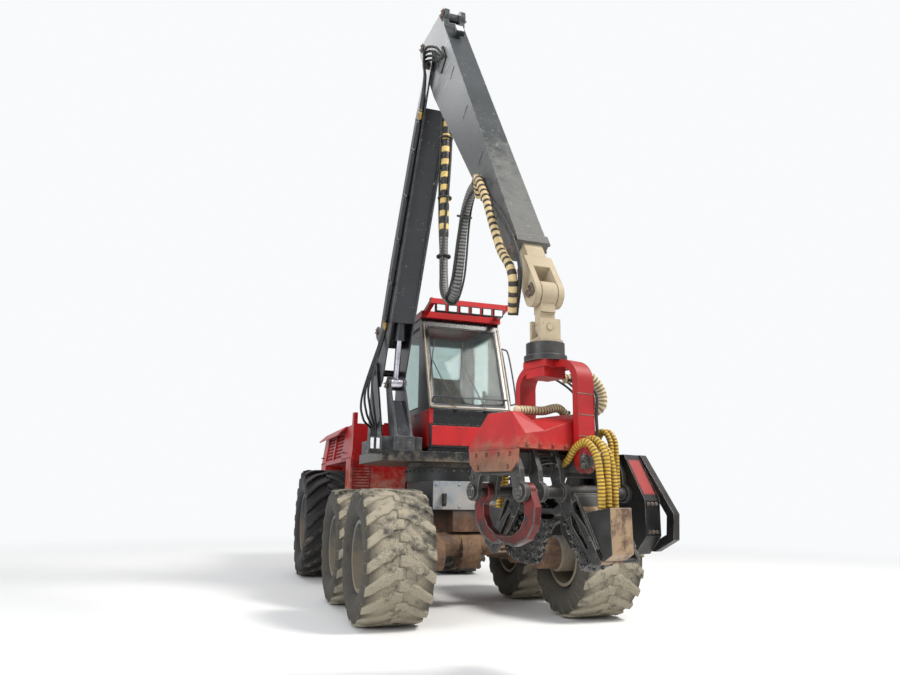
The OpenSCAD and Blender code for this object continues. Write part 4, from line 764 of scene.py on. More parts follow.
class HARVESTER_OT_stage(bpy.types.Operator):
    """Pale floor, studio lamps and the camera"""
    bl_idname = "harvester.stage"
    bl_label = "Stage"

    def execute(self, context):
        tone = context.scene.harvester_paint.floor_tone
        r = Recipe("floor")
        grain = r.noise(2.0, 3.0)
        r.finish(r.mix(grain, (tone, tone, tone, 1.0), (tone * 0.97, tone * 0.97, tone * 0.965, 1.0)), 0.9)
        # Far from the machine the floor fades into the white background
        far = r.add("ShaderNodeVectorMath", {0: r.coordinates.outputs["Object"]},
                    operation="LENGTH").outputs["Value"]
        glow = r.add("ShaderNodeEmission", {"Color": WHITE, "Strength": WHITE_LEVEL})
        blend = r.add("ShaderNodeMixShader",
                      {0: r.step(far, 6.0, 15.0), 1: r.shader.outputs[0], 2: glow.outputs[0]})
        r.tree.links.new(blend.outputs[0], r.nodes["Material Output"].inputs["Surface"])

        def ground(work):
            bmesh.ops.create_grid(work, x_segments=2, y_segments=2, size=60.0)
        floor = bpy.data.objects.new("floor", mesh_from("floor", ground))
        floor.location = (0, 0, -0.002)
        floor.data.materials.append(r.material)
        context.scene.collection.objects.link(floor)
        world = bpy.data.worlds.new("studio")
        world.use_nodes = True
        tree = world.node_tree
        back = tree.nodes["Background"]
        rays = tree.nodes.new("ShaderNodeLightPath")
        seen = tree.nodes.new("ShaderNodeMath")
        seen.operation = "MAXIMUM"
        tree.links.new(rays.outputs["Is Camera Ray"], seen.inputs[0])
        tree.links.new(rays.outputs["Is Transmission Ray"], seen.inputs[1])
        strength = tree.nodes.new("ShaderNodeMapRange")
        strength.inputs["To Min"].default_value = SKY_LEVEL
        strength.inputs["To Max"].default_value = WHITE_LEVEL
        tree.links.new(seen.outputs[0], strength.inputs["Value"])
        tree.links.new(strength.outputs[0], back.inputs["Strength"])
        back.inputs["Color"].default_value = WHITE
        context.scene.world = world
        for name, place, size, power, colour in LAMPS:
            lamp = bpy.data.lights.new(name, "AREA")
            lamp.energy, lamp.size, lamp.color = power, size, colour
            thing = bpy.data.objects.new(name, lamp)
            thing.location = place
            thing.rotation_euler = (LAMPS_AIM - Vector(place)).to_track_quat("-Z", "Y").to_euler()
            context.scene.collection.objects.link(thing)
        view = bpy.data.cameras.new("view")
        view.lens = CAMERA_LENS
        view.sensor_width = 36.0
        view.clip_end = 300.0
        camera = bpy.data.objects.new("view", view)
        camera.location = CAMERA
        camera.rotation_mode = "QUATERNION"
        heading = Matrix.Rotation(-CAMERA_YAW, 4, "Z") @ Matrix.Rotation(math.pi / 2 + CAMERA_PITCH, 4, "X")
        camera.rotation_quaternion = (heading @ Matrix.Rotation(CAMERA_ROLL, 4, "Z")).to_quaternion()
        context.scene.collection.objects.link(camera)
        context.scene.camera = camera
        context.scene.view_settings.view_transform = "Standard"
        return {"FINISHED"}


class HARVESTER_OT_finishes(bpy.types.Operator):
    """Paint, steel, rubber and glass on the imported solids"""
    bl_idname = "harvester.finishes"
    bl_label = "Finishes"

    def execute(self, context):
        make_finishes(context.scene.harvester_paint)
        for name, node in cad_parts.items():
            node.data.materials.clear()
            node.data.materials.append(FINISHES[NODE_FINISH.get(name, "dark_iron")])
        return {"FINISHED"}


class HARVESTER_OT_tyres(bpy.types.Operator):
    """Lugged tyres on the six wheels"""
    bl_idname = "harvester.tyres"
    bl_label = "Tyres"

    def execute(self, context):
        sizes = context.scene.harvester_sizes
        for wheel in WHEELS:
            node = "tyre_" + wheel
            if wheel.startswith("rear"):
                mesh = tread_tyre(node + "_tread", node, 20, sizes.rear_lug, REAR_WIDE, SLANTED)
            else:
                mesh = tread_tyre(node + "_tread", node, 18, sizes.bogie_lug, BOGIE_WIDE, STEPPED)
            tyre = piece(node + "_tread", mesh, NODE_FINISH[node], "wheel_" + wheel, smooth=True)
            round_edges(tyre, "worn_edges", 0.007, 40)
            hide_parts(node)
        return {"FINISHED"}


class HARVESTER_OT_wheel_nuts(bpy.types.Operator):
    """Rings of nuts on the six hubs"""
    bl_idname = "harvester.wheel_nuts"
    bl_label = "Wheel nuts"

    def execute(self, context):
        for wheel in WHEELS:
            middle = centre_of("rim_" + wheel)
            side = 1 if middle.x > 0 else -1

            def nuts(work):
                for y, z in circle(16, 0.15):
                    bolt(work, Vector((side * NUT_FACE, middle.y + y, middle.z + z)), Vector((side, 0, 0)),
                         0.03, 0.024)
            part("nuts_" + wheel, "rusty", "wheel_" + wheel, nuts, 0.0)
        return {"FINISHED"}


class HARVESTER_OT_crane(bpy.types.Operator):
    """Pin caps, hoses, clamps and fittings of the crane"""
    bl_idname = "harvester.crane"
    bl_label = "Crane"

    def execute(self, context):
        def foot_pins(work):
            for s in SIDES:
                pin_cap(work, BOOM, (0, 0, s * 0.197), (0, 0, s), 0.045)
                pin_cap(work, POST, (s * 0.125, 0.660, 2.6503), (s, 0, 0), 0.016)
        part("post_pin_caps", "rusty", "platform", foot_pins)

        def boom_pins(work):
            for s in SIDES:
                pin_cap(work, BOOM, (3.916, 0, s * 0.169), (0, 0, s), 0.045)
                pin_cap(work, BOOM, (1.400, -0.020, s * 0.163), (0, 0, s), 0.035)
                pin_cap(work, BOOM, (0.450, -0.330, s * 0.155), (0, 0, s), 0.030)
        part("boom_pin_caps", "rusty", "boom", boom_pins)

        def jib_pins(work):
            for s in SIDES:
                pin_cap(work, JIB, (-0.600, 0.095, s * 0.130), (0, 0, s), 0.024)
                pin_cap(work, JIB, (-0.084, -0.544, s * 0.130), (0, 0, s), 0.030)
        part("jib_pin_caps", "rusty", "jib", jib_pins)

        def tip_pins(work):
            for s in SIDES:
                pin_cap(work, JIB, (4.295, -0.424, s * 0.120), (0, 0, s), 0.030)
        part("tip_pin_caps", "rusty", "extension", tip_pins)

        # Four hoses lie beside one another on the boom's near face
        rows = [0.140 - 0.034 * i for i in range(4)]
        across = -0.1703
        line = 0.0145

        def clamps(work):
            for u in (0.80, 1.30, 1.85, 2.40, 2.95, 3.30):
                block(work, (u - 0.022, rows[3] - 0.030, across - 0.020),
                      (u + 0.022, rows[0] + 0.030, across - 0.011), BOOM)
                for v in (rows[3] - 0.024, (rows[1] + rows[2]) / 2, rows[0] + 0.024):
                    screw(work, BOOM, (u, v, across - 0.020), (0, 0, -1), 0.017, 0.010)
        part("boom_hose_clamps", "black", "boom", clamps, 0.002)

        def fittings(work):
            for v in rows:
                for u, way in ((0.78, -1), (3.32, 1)):
                    ferrule(work, (u, v, across), (way, 0, 0), 0.0150, BOOM)
        part("boom_hose_ends", "brass", "boom", fittings, 0.0)

        def seams(work):
            face, bead = 0.1555, 0.003
            for u in (0.62, 1.62, 2.66, 3.52):
                for s in SIDES:
                    block(work, (u - bead, -0.07, s * face - bead), (u + bead, 0.10, s * face + bead), BOOM)
            for u in (1.05, 2.10, 3.10):
                for v in (-0.02, 0.02):
                    screw(work, BOOM, (u, v, face), (0, 0, 1), 0.024, 0.012)
        part("boom_weld_beads", "crane", "boom", seams, 0.002)
        # Loops from the post to the boom, and over the knuckle to the jib
        for i, v in enumerate(rows):
            a = BOOM @ Vector((0.70, v, across))
            low = Vector((CRANE_X - 0.19 - 0.012 * i, BOGIE_Y + 0.86 + 0.05 * i, 1.98))
            bulge = Vector((CRANE_X - 0.31 - 0.03 * i, BOGIE_Y + 0.62 + 0.05 * i, 2.72 - 0.07 * i))
            run = [low, low + Vector((0, -0.02, 0.12)), bulge + Vector((0.03, 0.05, -0.30)), bulge,
                   a + (a - BOOM @ Vector((0.95, v, across))) * 0.55, a]
            hose(f"post_hose_{i + 1}", run, line, "black_hose", "platform", "boom")
            run = [BOOM @ Vector((3.40, v, across)), BOOM @ Vector((3.52, v, across)),
                   BOOM @ Vector((3.78, v + 0.10 + 0.02 * i, across - 0.05)),
                   JIB @ Vector((0.02, -0.02 - 0.05 * i, -0.215 - 0.010 * i)),
                   JIB @ Vector((0.18, -0.15 - 0.05 * i, -0.18)),
                   JIB @ Vector((0.30 + 0.05 * i, -0.20 - 0.045 * i, -0.140))]
            hose(f"knuckle_hose_{i + 1}", run, line, "black_hose", "boom", "jib")

        def jib_blocks(work):
            block(work, (0.27, -0.37, -0.132), (0.52, -0.17, -0.119), JIB)
            for i in range(4):
                u, v = 0.30 + 0.05 * i, -0.20 - 0.045 * i
                round_bar(work, (u, v, -0.15), (u, v, -0.12), 0.021, JIB, 6)
            for u, v in ((0.285, -0.355), (0.50, -0.185), (0.285, -0.185), (0.50, -0.355)):
                screw(work, JIB, (u, v, -0.132), (0, 0, -1), 0.018, 0.010)
            face, bead = 0.1203, 0.003
            for u in (0.9, 1.7, 2.5, 3.3):
                for s in SIDES:
                    block(work, (u - bead, -0.45, s * face - bead), (u + bead, -0.30, s * face + bead), JIB)
        part("jib_manifold", "dark_iron", "jib", jib_blocks)

        def collar_screws(work):
            for s in SIDES:
                for u in (3.755, 3.805):
                    for v in (-0.50, -0.43, -0.36):
                        screw(work, JIB, (u, v, s * 0.1325), (0, 0, s), 0.024, 0.012)
        part("collar_screws", "rusty", "jib", collar_screws)

        # The hanging loop, in millimetres from the knuckle in Y and Z: a corrugated hose, a striped
        # sleeve over its upper part, and two thin hoses tied to it
        route = [(-180, -620), (-180, -700), (-180, -820), (-170, -1500), (-160, -2100), (-170, -2520),
                 (-230, -2780), (-400, -2900), (-590, -2830), (-690, -2600), (-760, -2300), (-860, -2090),
                 (-1050, -1960), (-1260, -1990), (-1370, -2110), (-1400, -2220)]
        way = smooth_run([KNUCKLE + Vector((0.02, y / 1000, z / 1000)) for y, z in route], 0.03)
        cut = round(len(way) * 0.36)
        sleeve = hose("loop_sleeve", way[1:cut + 1:3] + [way[cut + 1]], 0.0505, "striped_hose", "jib", None,
                      0.02, 0.05, 0.01)
        loop = hose("loop_corrugated", way[::3] + [way[-1]], 0.0460, "grey_hose", "jib", None, 0.04, 0.034,
                    0.0085)
        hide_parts("jib_hose")
        for k, (radius, turn, offset) in enumerate(((0.013, 5.0, 0.0), (0.011, 5.0, 2.4))):
            points = []
            for i in range(0, len(way), 6):
                t = i / (len(way) - 1)
                along = (way[min(i + 1, len(way) - 1)] - way[max(i - 1, 0)]).normalized()
                side = Vector((1, 0, 0))
                up = along.cross(side)
                a = offset + turn * t
                points.append(way[i] + 0.062 * (math.cos(a) * side + math.sin(a) * up))
            hose(f"loop_line_{k + 1}", points, radius, "black_hose", "jib")

        def ties(work):
            for share in (0.10, 0.26, 0.42, 0.60, 0.80, 0.93):
                i = round(share * (len(way) - 1))
                along = (way[min(i + 1, len(way) - 1)] - way[i - 1]).normalized()
                round_bar(work, way[i] - along * 0.009, way[i] + along * 0.009, 0.0780, PLAIN, 24)
        part("loop_ties", "rubber", "jib", ties, 0.002)

        # A thin and a thick hose from the loop's end along the jib, and on to the extension's tip
        clamp = way[-1]
        for i in range(2):
            x = -0.150 - 0.04 * i
            thick, skin = (0.034, "tan_hose") if i else (0.017, "black_hose")
            run = [clamp + Vector((-0.03 - 0.05 * i, -0.02, 0.02)), JIB @ Vector((2.75, -0.33, x)),
                   JIB @ Vector((3.10, -0.40, x - 0.02)), JIB @ Vector((3.55, -0.50 + 0.10 * i, x - 0.03)),
                   JIB @ Vector((3.72, -0.52 + 0.12 * i, x - 0.03))]
            hose(f"jib_line_{i + 1}", run, thick, skin, "jib", None, 0.05, 0.026)
            tip = Vector((CRANE_X - 0.10 - 0.03 * i, BOGIE_Y - 3.646 + 0.10, 2.33))
            run = [JIB @ Vector((3.72, -0.52 + 0.12 * i, x - 0.03)),
                   JIB @ Vector((3.84, -0.54 + 0.13 * i, x - 0.035)),
                   JIB @ Vector((4.15, -0.52 + 0.06 * i, x - 0.04)), tip + Vector((-0.05, 0.06, 0.22))]
            hose(f"tip_line_{i + 1}", run, thick, skin, "jib", "extension", 0.05, 0.026)

        def knee_lamp(work):
            block(work, (0.22, -0.60, -0.05), (0.36, -0.545, 0.05), JIB)
            block(work, (0.27, -0.55, -0.012), (0.31, -0.50, 0.012), JIB)
        part("knee_lamp_housing", "black", "jib", knee_lamp, 0.008)
        part("knee_lamp_lens", "lens", "jib",
             lambda work: block(work, (0.232, -0.606, -0.042), (0.348, -0.599, 0.042), JIB), 0.002)

        return {"FINISHED"}


class HARVESTER_OT_cab(bpy.types.Operator):
    """Lamps, wipers, seals, panels, controls and seat of the cab"""
    bl_idname = "harvester.cab"
    bl_label = "Cab"

    def execute(self, context):
        def screen(z):
            return 0.300 + 0.450 * (z - SILL_Z) / (ROOF_Z - SILL_Z)
        low, high = SILL_Z + 0.031, ROOF_Z - 0.111

        def seals(work):
            front = ((-0.478, low), (0.478, low), (0.478, high), (-0.478, high))
            side = ((0.822, low + 0.002), (1.858, low + 0.002), (1.858, high), (0.822, high))
            strip_loop(work, [CAB @ Vector((x, screen(z) + 0.012, z)) for x, z in front], (0, -1, 0.36),
                       0.020, 0.008)
            strip_loop(work, [CAB @ Vector((-0.5315, y, z)) for y, z in side], (-1, 0, 0), 0.020, 0.006)
        part("window_seals", "rubber", "platform", seals, 0.0)

        roof_lamps = (-0.40, -0.24, -0.08, 0.08, 0.24, 0.40)

        def lenses(work):
            for x in roof_lamps:
                block(work, (x - 0.056, 0.3535, ROOF_Z + 0.020), (x + 0.056, 0.3590, ROOF_Z + 0.1005), CAB)
            for x in (-0.39, -0.32):
                block(work, (x - 0.022, 0.1335, DECK_Z + 0.012), (x + 0.022, 0.1390, DECK_Z + 0.141), POST)
        part("lamp_lenses", "lens", "platform", lenses, 0.010)

        def lamp_fins(work):
            for x in roof_lamps:
                for k in range(5):
                    z = ROOF_Z + 0.022 + 0.018 * k
                    block(work, (x - 0.050, 0.4295, z), (x + 0.050, 0.4440, z + 0.006), CAB)
                for s in SIDES:
                    screw(work, CAB, (x + s * 0.050, 0.352, ROOF_Z + 0.0145), (0, -1, 0), 0.008, 0.004)
        part("lamp_fins", "black", "platform", lamp_fins, 0.0015)

        def brackets(work):
            outline = ((0.362, 0.112), (0.362, 0.012), (0.44, 0.012), (0.44, 0.06), (0.418, 0.112))
            for x in (-0.32, -0.16, 0.0, 0.16, 0.32):
                prism(work, *[[CAB @ Vector((face, y, ROOF_Z + up)) for y, up in outline]
                              for face in (x - 0.010, x + 0.010)])
            for s in SIDES:
                block(work, (s * 0.53 - 0.012, 0.352, ROOF_Z + 0.105),
                      (s * 0.53 + 0.012, 0.428, ROOF_Z + 0.185), CAB)
            for x in (-0.45, -0.15, 0.15, 0.45):
                block(work, (x - 0.02, 0.72, ROOF_Z + 0.0895), (x + 0.02, 2.00, ROOF_Z + 0.102), CAB)
        part("lamp_brackets", "red", "platform", brackets, 0.003)

        def wipers(work):
            for s in SIDES:
                foot = Vector((s * 0.20, 0.284, SILL_Z - 0.03))
                tip = Vector((s * 0.20 - 0.26, screen(SILL_Z + 0.62) - 0.045, SILL_Z + 0.62))
                round_bar(work, foot + Vector((0, 0.03, 0)), foot + Vector((0, -0.03, 0)), 0.022, CAB, 20)
                round_bar(work, foot + Vector((0, -0.02, 0)), tip, 0.007, CAB, 8)
                a = tip - Vector((0.05, 0.10, 0.28))
                b = tip + Vector((0.05, 0.10, 0.28))
                a.y, b.y = screen(a.z) - 0.012, screen(b.z) - 0.012
                round_bar(work, a, b, 0.008, CAB, 6)
                round_bar(work, a + Vector((0, 0.006, 0)), b + Vector((0, 0.006, 0)), 0.005, CAB, 4)
        part("wipers", "rubber", "platform", wipers, 0.0)

        def handrail(work):
            z = SILL_Z + 0.13
            round_bar(work, (-0.49, screen(z) - 0.070, z), (0.49, screen(z) - 0.070, z), 0.011, CAB, 12)
            for s in SIDES:
                round_bar(work, (s * 0.478, screen(z) - 0.072, z), (s * 0.478, screen(z) + 0.012, z), 0.010,
                          CAB, 12)
        part("front_handrail", "black", "platform", handrail, 0.0)

        def panel(work):
            block(work, (-0.53, 0.2335, DECK_Z + 0.085), (0.53, 0.2395, DECK_Z + 0.325), CAB)
            for x in (-0.50, -0.17, 0.17, 0.50):
                for z in (DECK_Z + 0.105, DECK_Z + 0.305):
                    screw(work, CAB, (x, 0.234, z), (0, -1, 0), 0.016, 0.008)
        part("front_panel", "red", "platform", panel, 0.004)

        part("cowl_panel", "cab_black", "platform",
             lambda work: block(work, (-0.505, 0.292, DECK_Z + 0.350), (0.545, 0.2995, DECK_Z + 0.535), CAB),
             0.004)

        def edges(work):
            for s in SIDES:
                a, b = SILL_Z + 0.004, ROOF_Z - 0.085
                round_bar(work, (s * 0.528, screen(a) - 0.004, a), (s * 0.528, screen(b) - 0.004, b), 0.010,
                          CAB, 8)
            z = SILL_Z + 0.006
            round_bar(work, (-0.528, screen(z) - 0.004, z), (0.528, screen(z) - 0.004, z), 0.008, CAB, 8)
        part("screen_edges", "cream", "platform", edges, 0.0)

        def band(work):
            block(work, (-0.552, 0.2885, DECK_Z + 0.070), (-0.500, 0.3120, DECK_Z + 0.545), CAB)
            block(work, (-0.5560, 0.320, DECK_Z + 0.06), (-0.5505, 1.960, DECK_Z + 0.530), CAB)
        part("red_panels", "red", "platform", band, 0.003)

        def trim(work):
            for y in (0.36, 0.90, 1.42, 1.93):
                for z in (DECK_Z + 0.09, DECK_Z + 0.50):
                    screw(work, CAB, (-0.5565, y, z), (-1, 0, 0), 0.018, 0.008)
            for x in (-0.50, 0.0, 0.50):
                screw(work, CAB, (x, 0.2935, DECK_Z + 0.45), (0, -1, 0), 0.018, 0.008)
        part("panel_screws", "black", "platform", trim, 0.0)

        def handle(work):
            for z in (SILL_Z - 0.10, SILL_Z + 0.06):
                round_bar(work, (0.552, 1.600, z), (0.585, 1.600, z), 0.012, CAB, 12)
            round_bar(work, (0.583, 1.600, SILL_Z - 0.115), (0.583, 1.600, SILL_Z + 0.075), 0.013, CAB, 12)
            block(work, (0.549, 1.56, SILL_Z - 0.16), (0.556, 1.64, SILL_Z + 0.11), CAB)
        part("door_handle", "black", "door", handle, 0.002)

        def steps(work):
            for k in range(10):
                x = -0.95 + 0.17 * k
                block(work, (x, 0.135, DECK_Z + 0.0005), (x + 0.10, 0.225, DECK_Z + 0.004), CHASSIS)
        part("deck_tread", "black", "platform", steps, 0.001)

        # Controls and the seat's frame
        floor = DECK_Z + 0.06

        def frame_parts(work):
            for k in range(7):
                z = floor + 0.012 + 0.036 * k
                round_bar(work, (0, 1.0, z), (0, 1.0, z + 0.022), 0.125, CAB, 32, 0.118)
            block(work, (-0.20, 0.80, floor + 0.265), (0.20, 1.20, floor + 0.296), CAB)
            for s in SIDES:
                x = s * 0.300
                block(work, (x - 0.040, 0.72, floor + 0.52), (x + 0.040, 1.12, floor + 0.57), CAB)
                round_bar(work, (s * 0.27, 1.08, floor + 0.30), (s * 0.29, 1.08, floor + 0.53),
                          0.020, CAB, 12)
                block(work, (x - 0.062, 0.56, floor + 0.53), (x + 0.062, 0.76, floor + 0.60), CAB)
                round_bar(work, (x, 0.64, floor + 0.60), (x, 0.62, floor + 0.70), 0.014, CAB, 12)
                round_bar(work, (x, 0.62, floor + 0.69), (x, 0.61, floor + 0.78), 0.026, CAB, 16, 0.022)
                for k in range(4):
                    button = x - 0.036 + 0.024 * k
                    round_bar(work, (button, 0.59, floor + 0.60), (button, 0.59, floor + 0.608),
                              0.008, CAB, 10)
        part("seat_frame", "rubber", "platform", frame_parts, 0.004)

        def console(work):
            block(work, (-0.10, 0.405, floor + 0.02), (0.10, 0.47, floor + 0.42), CAB)
            for pedal in (-0.16, 0.16):
                block(work, (pedal - 0.045, 0.44, floor + 0.012), (pedal + 0.045, 0.60, floor + 0.030), CAB)
            block(work, (0.335, 0.66, SILL_Z + 0.10), (0.485, 0.70, SILL_Z + 0.24), CAB)
            round_bar(work, (0.41, 0.70, SILL_Z + 0.16), (0.455, 0.74, SILL_Z - 0.05), 0.012, CAB, 10)
        part("console", "black", "platform", console, 0.006)

        cushion_y, cushion_z = 0.985, floor + 0.362

        def cushion(name, centre, size, lean):
            """A padded block with a crowned face and drawn-in corners."""
            def build(work):
                bmesh.ops.create_cube(work, size=1.0)
                bmesh.ops.subdivide_edges(work, edges=work.edges, cuts=9, use_grid_fill=True)
                for v in work.verts:
                    x, y, z = (2 * q for q in v.co)
                    pull = 1 - 0.06 * (1 - abs(x) ** 4) * abs(y) ** 6 - 0.05 * (1 - abs(y) ** 4) * abs(x) ** 6
                    crown = 1 + 0.30 * (1 - x * x) * (1 - y * y)
                    v.co = Vector((x * pull * size[0] / 2, y * pull * size[1] / 2, z * crown * size[2] / 2.5))
            mesh = mesh_from(name, build)
            mesh.transform(CAB @ Matrix.Translation(centre) @ Matrix.Rotation(lean, 4, "X"))
            pad = piece(name, mesh, "seat", "platform", smooth=True)
            inflate(pad, 0.010)
            return pad

        base = cushion("seat_cushion", (0, cushion_y, cushion_z), (0.465, 0.465, 0.110), 0.0)
        cushion("seat_back", (0, 1.262, floor + 0.735), (0.440, 0.640, 0.085),
                math.radians(-12.2) + math.pi / 2)
        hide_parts("cab_seat")

        def piping(work):
            half = 0.226
            square = [[half * math.copysign(abs(share) ** 0.35, share) for share in pair]
                      for pair in circle(48, 1.0)]
            ring = [Vector((x, cushion_y + y, cushion_z)) for x, y in square]
            for a, b in zip(ring, ring[1:] + ring[:1]):
                round_bar(work, a, b, 0.0045, CAB, 8)
        part("seat_piping", "rubber", "platform", piping, 0.0)
        return {"FINISHED"}


class HARVESTER_OT_head(bpy.types.Operator):
    """Hoses, bolts, pins and the chain of the felling head"""
    bl_idname = "harvester.head"
    bl_label = "Felling head"

    def execute(self, context):
        # Axis of the arms' and knives' pins, and of the tilt hinge
        pin_y, pin_z = 0.235, -0.195
        hinge_x = 0.066

        def at(x, y, z):
            return HEAD_AXES @ Vector((x, y, z))

        def pins(work):
            for s in SIDES:
                y = s * pin_y
                for x, d in ((-0.4585, -1), (0.3215, 1), (0.464, -1)):
                    face = x + d * 0.014
                    round_bar(work, (x, y, pin_z), (x + d * 0.016, y, pin_z), 0.042, HEAD_AXES, 32)
                    round_bar(work, (face, y, pin_z), (x + d * 0.030, y, pin_z), 0.022, HEAD_AXES, 6)
                    for dy, dz in circle(3, 0.031, 0.4):
                        screw(work, HEAD_AXES, (face, y + dy, pin_z + dz), (d, 0, 0), 0.010, 0.008)
                pin_cap(work, HEAD_AXES, (hinge_x, s * 0.320, 0.0), (0, s, 0), 0.038)
        part("head_pin_ends", "iron", "head", pins, 0.002)

        def frame_bolts(work):
            for x in (-0.4585, -0.1215):
                for s in SIDES:
                    for y, z in ((0.165, 0.045), (0.215, -0.030), (0.235, -0.105), (0.120, 0.045)):
                        screw(work, HEAD_AXES, (x, s * y, z), (-1, 0, 0), 0.022, 0.014)
            for x in (-0.26, -0.03, 0.02, 0.20, 0.40):
                for s in SIDES:
                    screw(work, HEAD_AXES, (x, s * 0.176, 0.030), (0, s, 0), 0.024, 0.014)
            for x in (-0.27, -0.15, 0.18, 0.30, 0.42):
                for s in SIDES:
                    block(work, (x - 0.007, s * 0.176 - 0.010, -0.045),
                          (x + 0.007, s * 0.176 + 0.010, 0.040), HEAD_AXES)
        part("head_bolts", "dark_iron", "head", frame_bolts, 0.0015)

        def valves(work):
            for k in range(6):
                x = 0.148 + 0.030 * k
                for s, y in ((-1, -0.090), (1, 0.140)):
                    round_bar(work, (x, y, 0.225), (x, y + s * 0.050, 0.225), 0.014, HEAD_AXES, 16)
                    round_bar(work, (x, y + s * 0.050, 0.225), (x, y + s * 0.062, 0.225), 0.009, HEAD_AXES, 6)
                    round_bar(work, (x, y, 0.145), (x, y + s * 0.022, 0.145), 0.012, HEAD_AXES, 6)
                block(work, (x - 0.011, -0.075, 0.2835), (x + 0.011, 0.125, 0.292), HEAD_AXES)
            for k in range(3):
                round_bar(work, (0.172 + 0.036 * k, 0.03, 0.318), (0.172 + 0.036 * k, 0.03, 0.372), 0.013,
                          HEAD_AXES, 16)
        part("valve_bank", "dark_iron", "head", valves, 0.0015)

        def cover_bolts(work):
            for s in SIDES:
                for x in (-0.40, -0.29, -0.18, -0.07, 0.03):
                    screw(work, HEAD_AXES, (x, s * 0.2500, 0.095), (0, s, 0), 0.022, 0.010)
                block(work, (-0.478, s * 0.245 - 0.006, 0.0705), (0.058, s * 0.245 + 0.006, 0.076), HEAD_AXES)
            for y in (-0.17, -0.06, 0.06, 0.17):
                screw(work, HEAD_AXES, (-0.4785, y, 0.035), (-1, 0, 0), 0.022, 0.010)
            for y in (-0.15, 0.15):
                screw(work, HEAD_AXES, (-0.4785, y, -0.045), (-1, 0, 0), 0.022, 0.010)
            block(work, (-0.486, -0.240, 0.066), (-0.4775, 0.240, 0.074), HEAD_AXES)
        part("cover_bolts", "cover_red", "head", cover_bolts, 0.002)

        def tilt_trim(work):
            for s in SIDES:
                y = s * 0.3105
                for z in (0.16, 0.30, 0.44):
                    block(work, (hinge_x - 0.0765, y - 0.002, z),
                          (hinge_x + 0.0765, y + 0.002, z + 0.007), HEAD_AXES)
                for dx, dz in circle(4, 0.056, 0.785):
                    screw(work, HEAD_AXES, (hinge_x + dx, s * 0.310, dz), (0, s, 0), 0.016, 0.010)
            for x, y in circle(12, 0.120):
                screw(work, HEAD_AXES, (x, y, 0.7415), (0, 0, 1), 0.018, 0.012)
        part("tilt_frame_trim", "rusty", "rotator", tilt_trim, 0.0015)

        # Hoses of the head: two arches behind, and the bundles to the roller arms' motors
        arches = (0.375, 0.425)
        bundles = ((-1, "near", 3), (1, "far", 2))
        for i, x in enumerate(arches):
            run = [(-60, 70.3), (-62, 140), (-110, 215), (-180, 218), (-228, 150), (-235, 40), (-235, -60),
                   (-235, -156.7)]
            arch = hose(f"rear_arch_{i + 1}", [at(x, y / 1000, z / 1000) for y, z in run], 0.0185,
                        "yellow_hose", "head", None, 0.05, 0.020, 0.005)
            if not i:
                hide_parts("head_hoses")
        for side, word, count in bundles:
            for k in range(count):
                x = -0.030 + 0.060 * k
                lift = 0.020 * (k % 2)
                run = [(x, 0.176, -0.015), (x, 0.225, 0.012), (x + 0.004, 0.300, 0.092 + lift),
                       (x + 0.008, 0.385 + lift, 0.118 + lift), (x + 0.012, 0.462 + lift, 0.035),
                       (x + 0.014, 0.490, -0.130), (x + 0.014, 0.492, -0.250), (x + 0.014, 0.492, -0.360)]
                hose(f"pot_hose_{word}_{k + 1}", [at(px, side * py, pz) for px, py, pz in run], 0.0235,
                     "yellow_hose", "head", "roller_arm_" + word, 0.05, 0.020, 0.005)
        # Two lines down the tilt frame's near leg
        for i in range(2):
            y = -0.312 + 0.03 * i
            run = [at(0.085, -0.13, 0.560), at(0.150, -0.20, 0.545), at(0.158, y, 0.455), at(0.156, y, 0.30),
                   at(0.156, y, 0.16), at(0.175, -0.255, 0.060), at(0.200, -0.19, 0.035)]
            hose(f"leg_line_{i + 1}", run, 0.0105, "black_hose", "rotator", "head")
        run = [at(-0.30, -0.035, 0.330), at(-0.20, -0.030, 0.338), at(-0.06, -0.030, 0.345),
               at(0.05, -0.02, 0.372), at(0.12, -0.01, 0.372), at(0.190, 0.0, 0.330)]
        hose("cover_hose", run, 0.0300, "cream_hose", "head", None, 0.05, 0.026, 0.006)
        for i in range(2):
            y = -0.13 + 0.10 * i
            run = [at(0.145, y, 0.585), at(0.245, y - 0.04, 0.590), at(0.330, y - 0.06, 0.500),
                   at(0.345, y - 0.05, 0.400), at(0.300, y + 0.01, 0.345), at(0.245, y + 0.05, 0.305)]
            hose(f"swivel_hose_{i + 1}", run, 0.0400 - 0.008 * i, "cream_hose", "rotator", "head", 0.05,
                 0.026, 0.006)
        for i in range(3):
            y = 0.02 + 0.07 * i
            run = [at(0.110, y + 0.02, 0.600), at(0.250, y + 0.05, 0.640),
                   at(0.420 + 0.03 * i, y + 0.03, 0.520), at(0.455 + 0.02 * i, y, 0.300),
                   at(0.420, y, 0.130), at(0.400, y - 0.02, 0.072)]
            hose(f"thin_loop_{i + 1}", run, 0.0085, "black_hose", "rotator", "head")
        for side, word in ((-1, "near"), (1, "far")):
            for k in range(3):
                y = 0.155 + 0.012 * k
                run = [(0.140, 0.08, 0.110 + 0.018 * k), (0.100, 0.13, 0.095 + 0.01 * k), (0.085, y, 0.078),
                       (0.02, y + 0.012, 0.055), (-0.10, y + 0.020, 0.030 - 0.02 * k),
                       (-0.22, y + 0.024, 0.025 - 0.024 * k), (-0.30, y + 0.010, -0.025 - 0.02 * k)]
                hose(f"frame_line_{word}_{k + 1}", [at(px, side * py, pz) for px, py, pz in run], 0.0075,
                     "black_hose", "head")

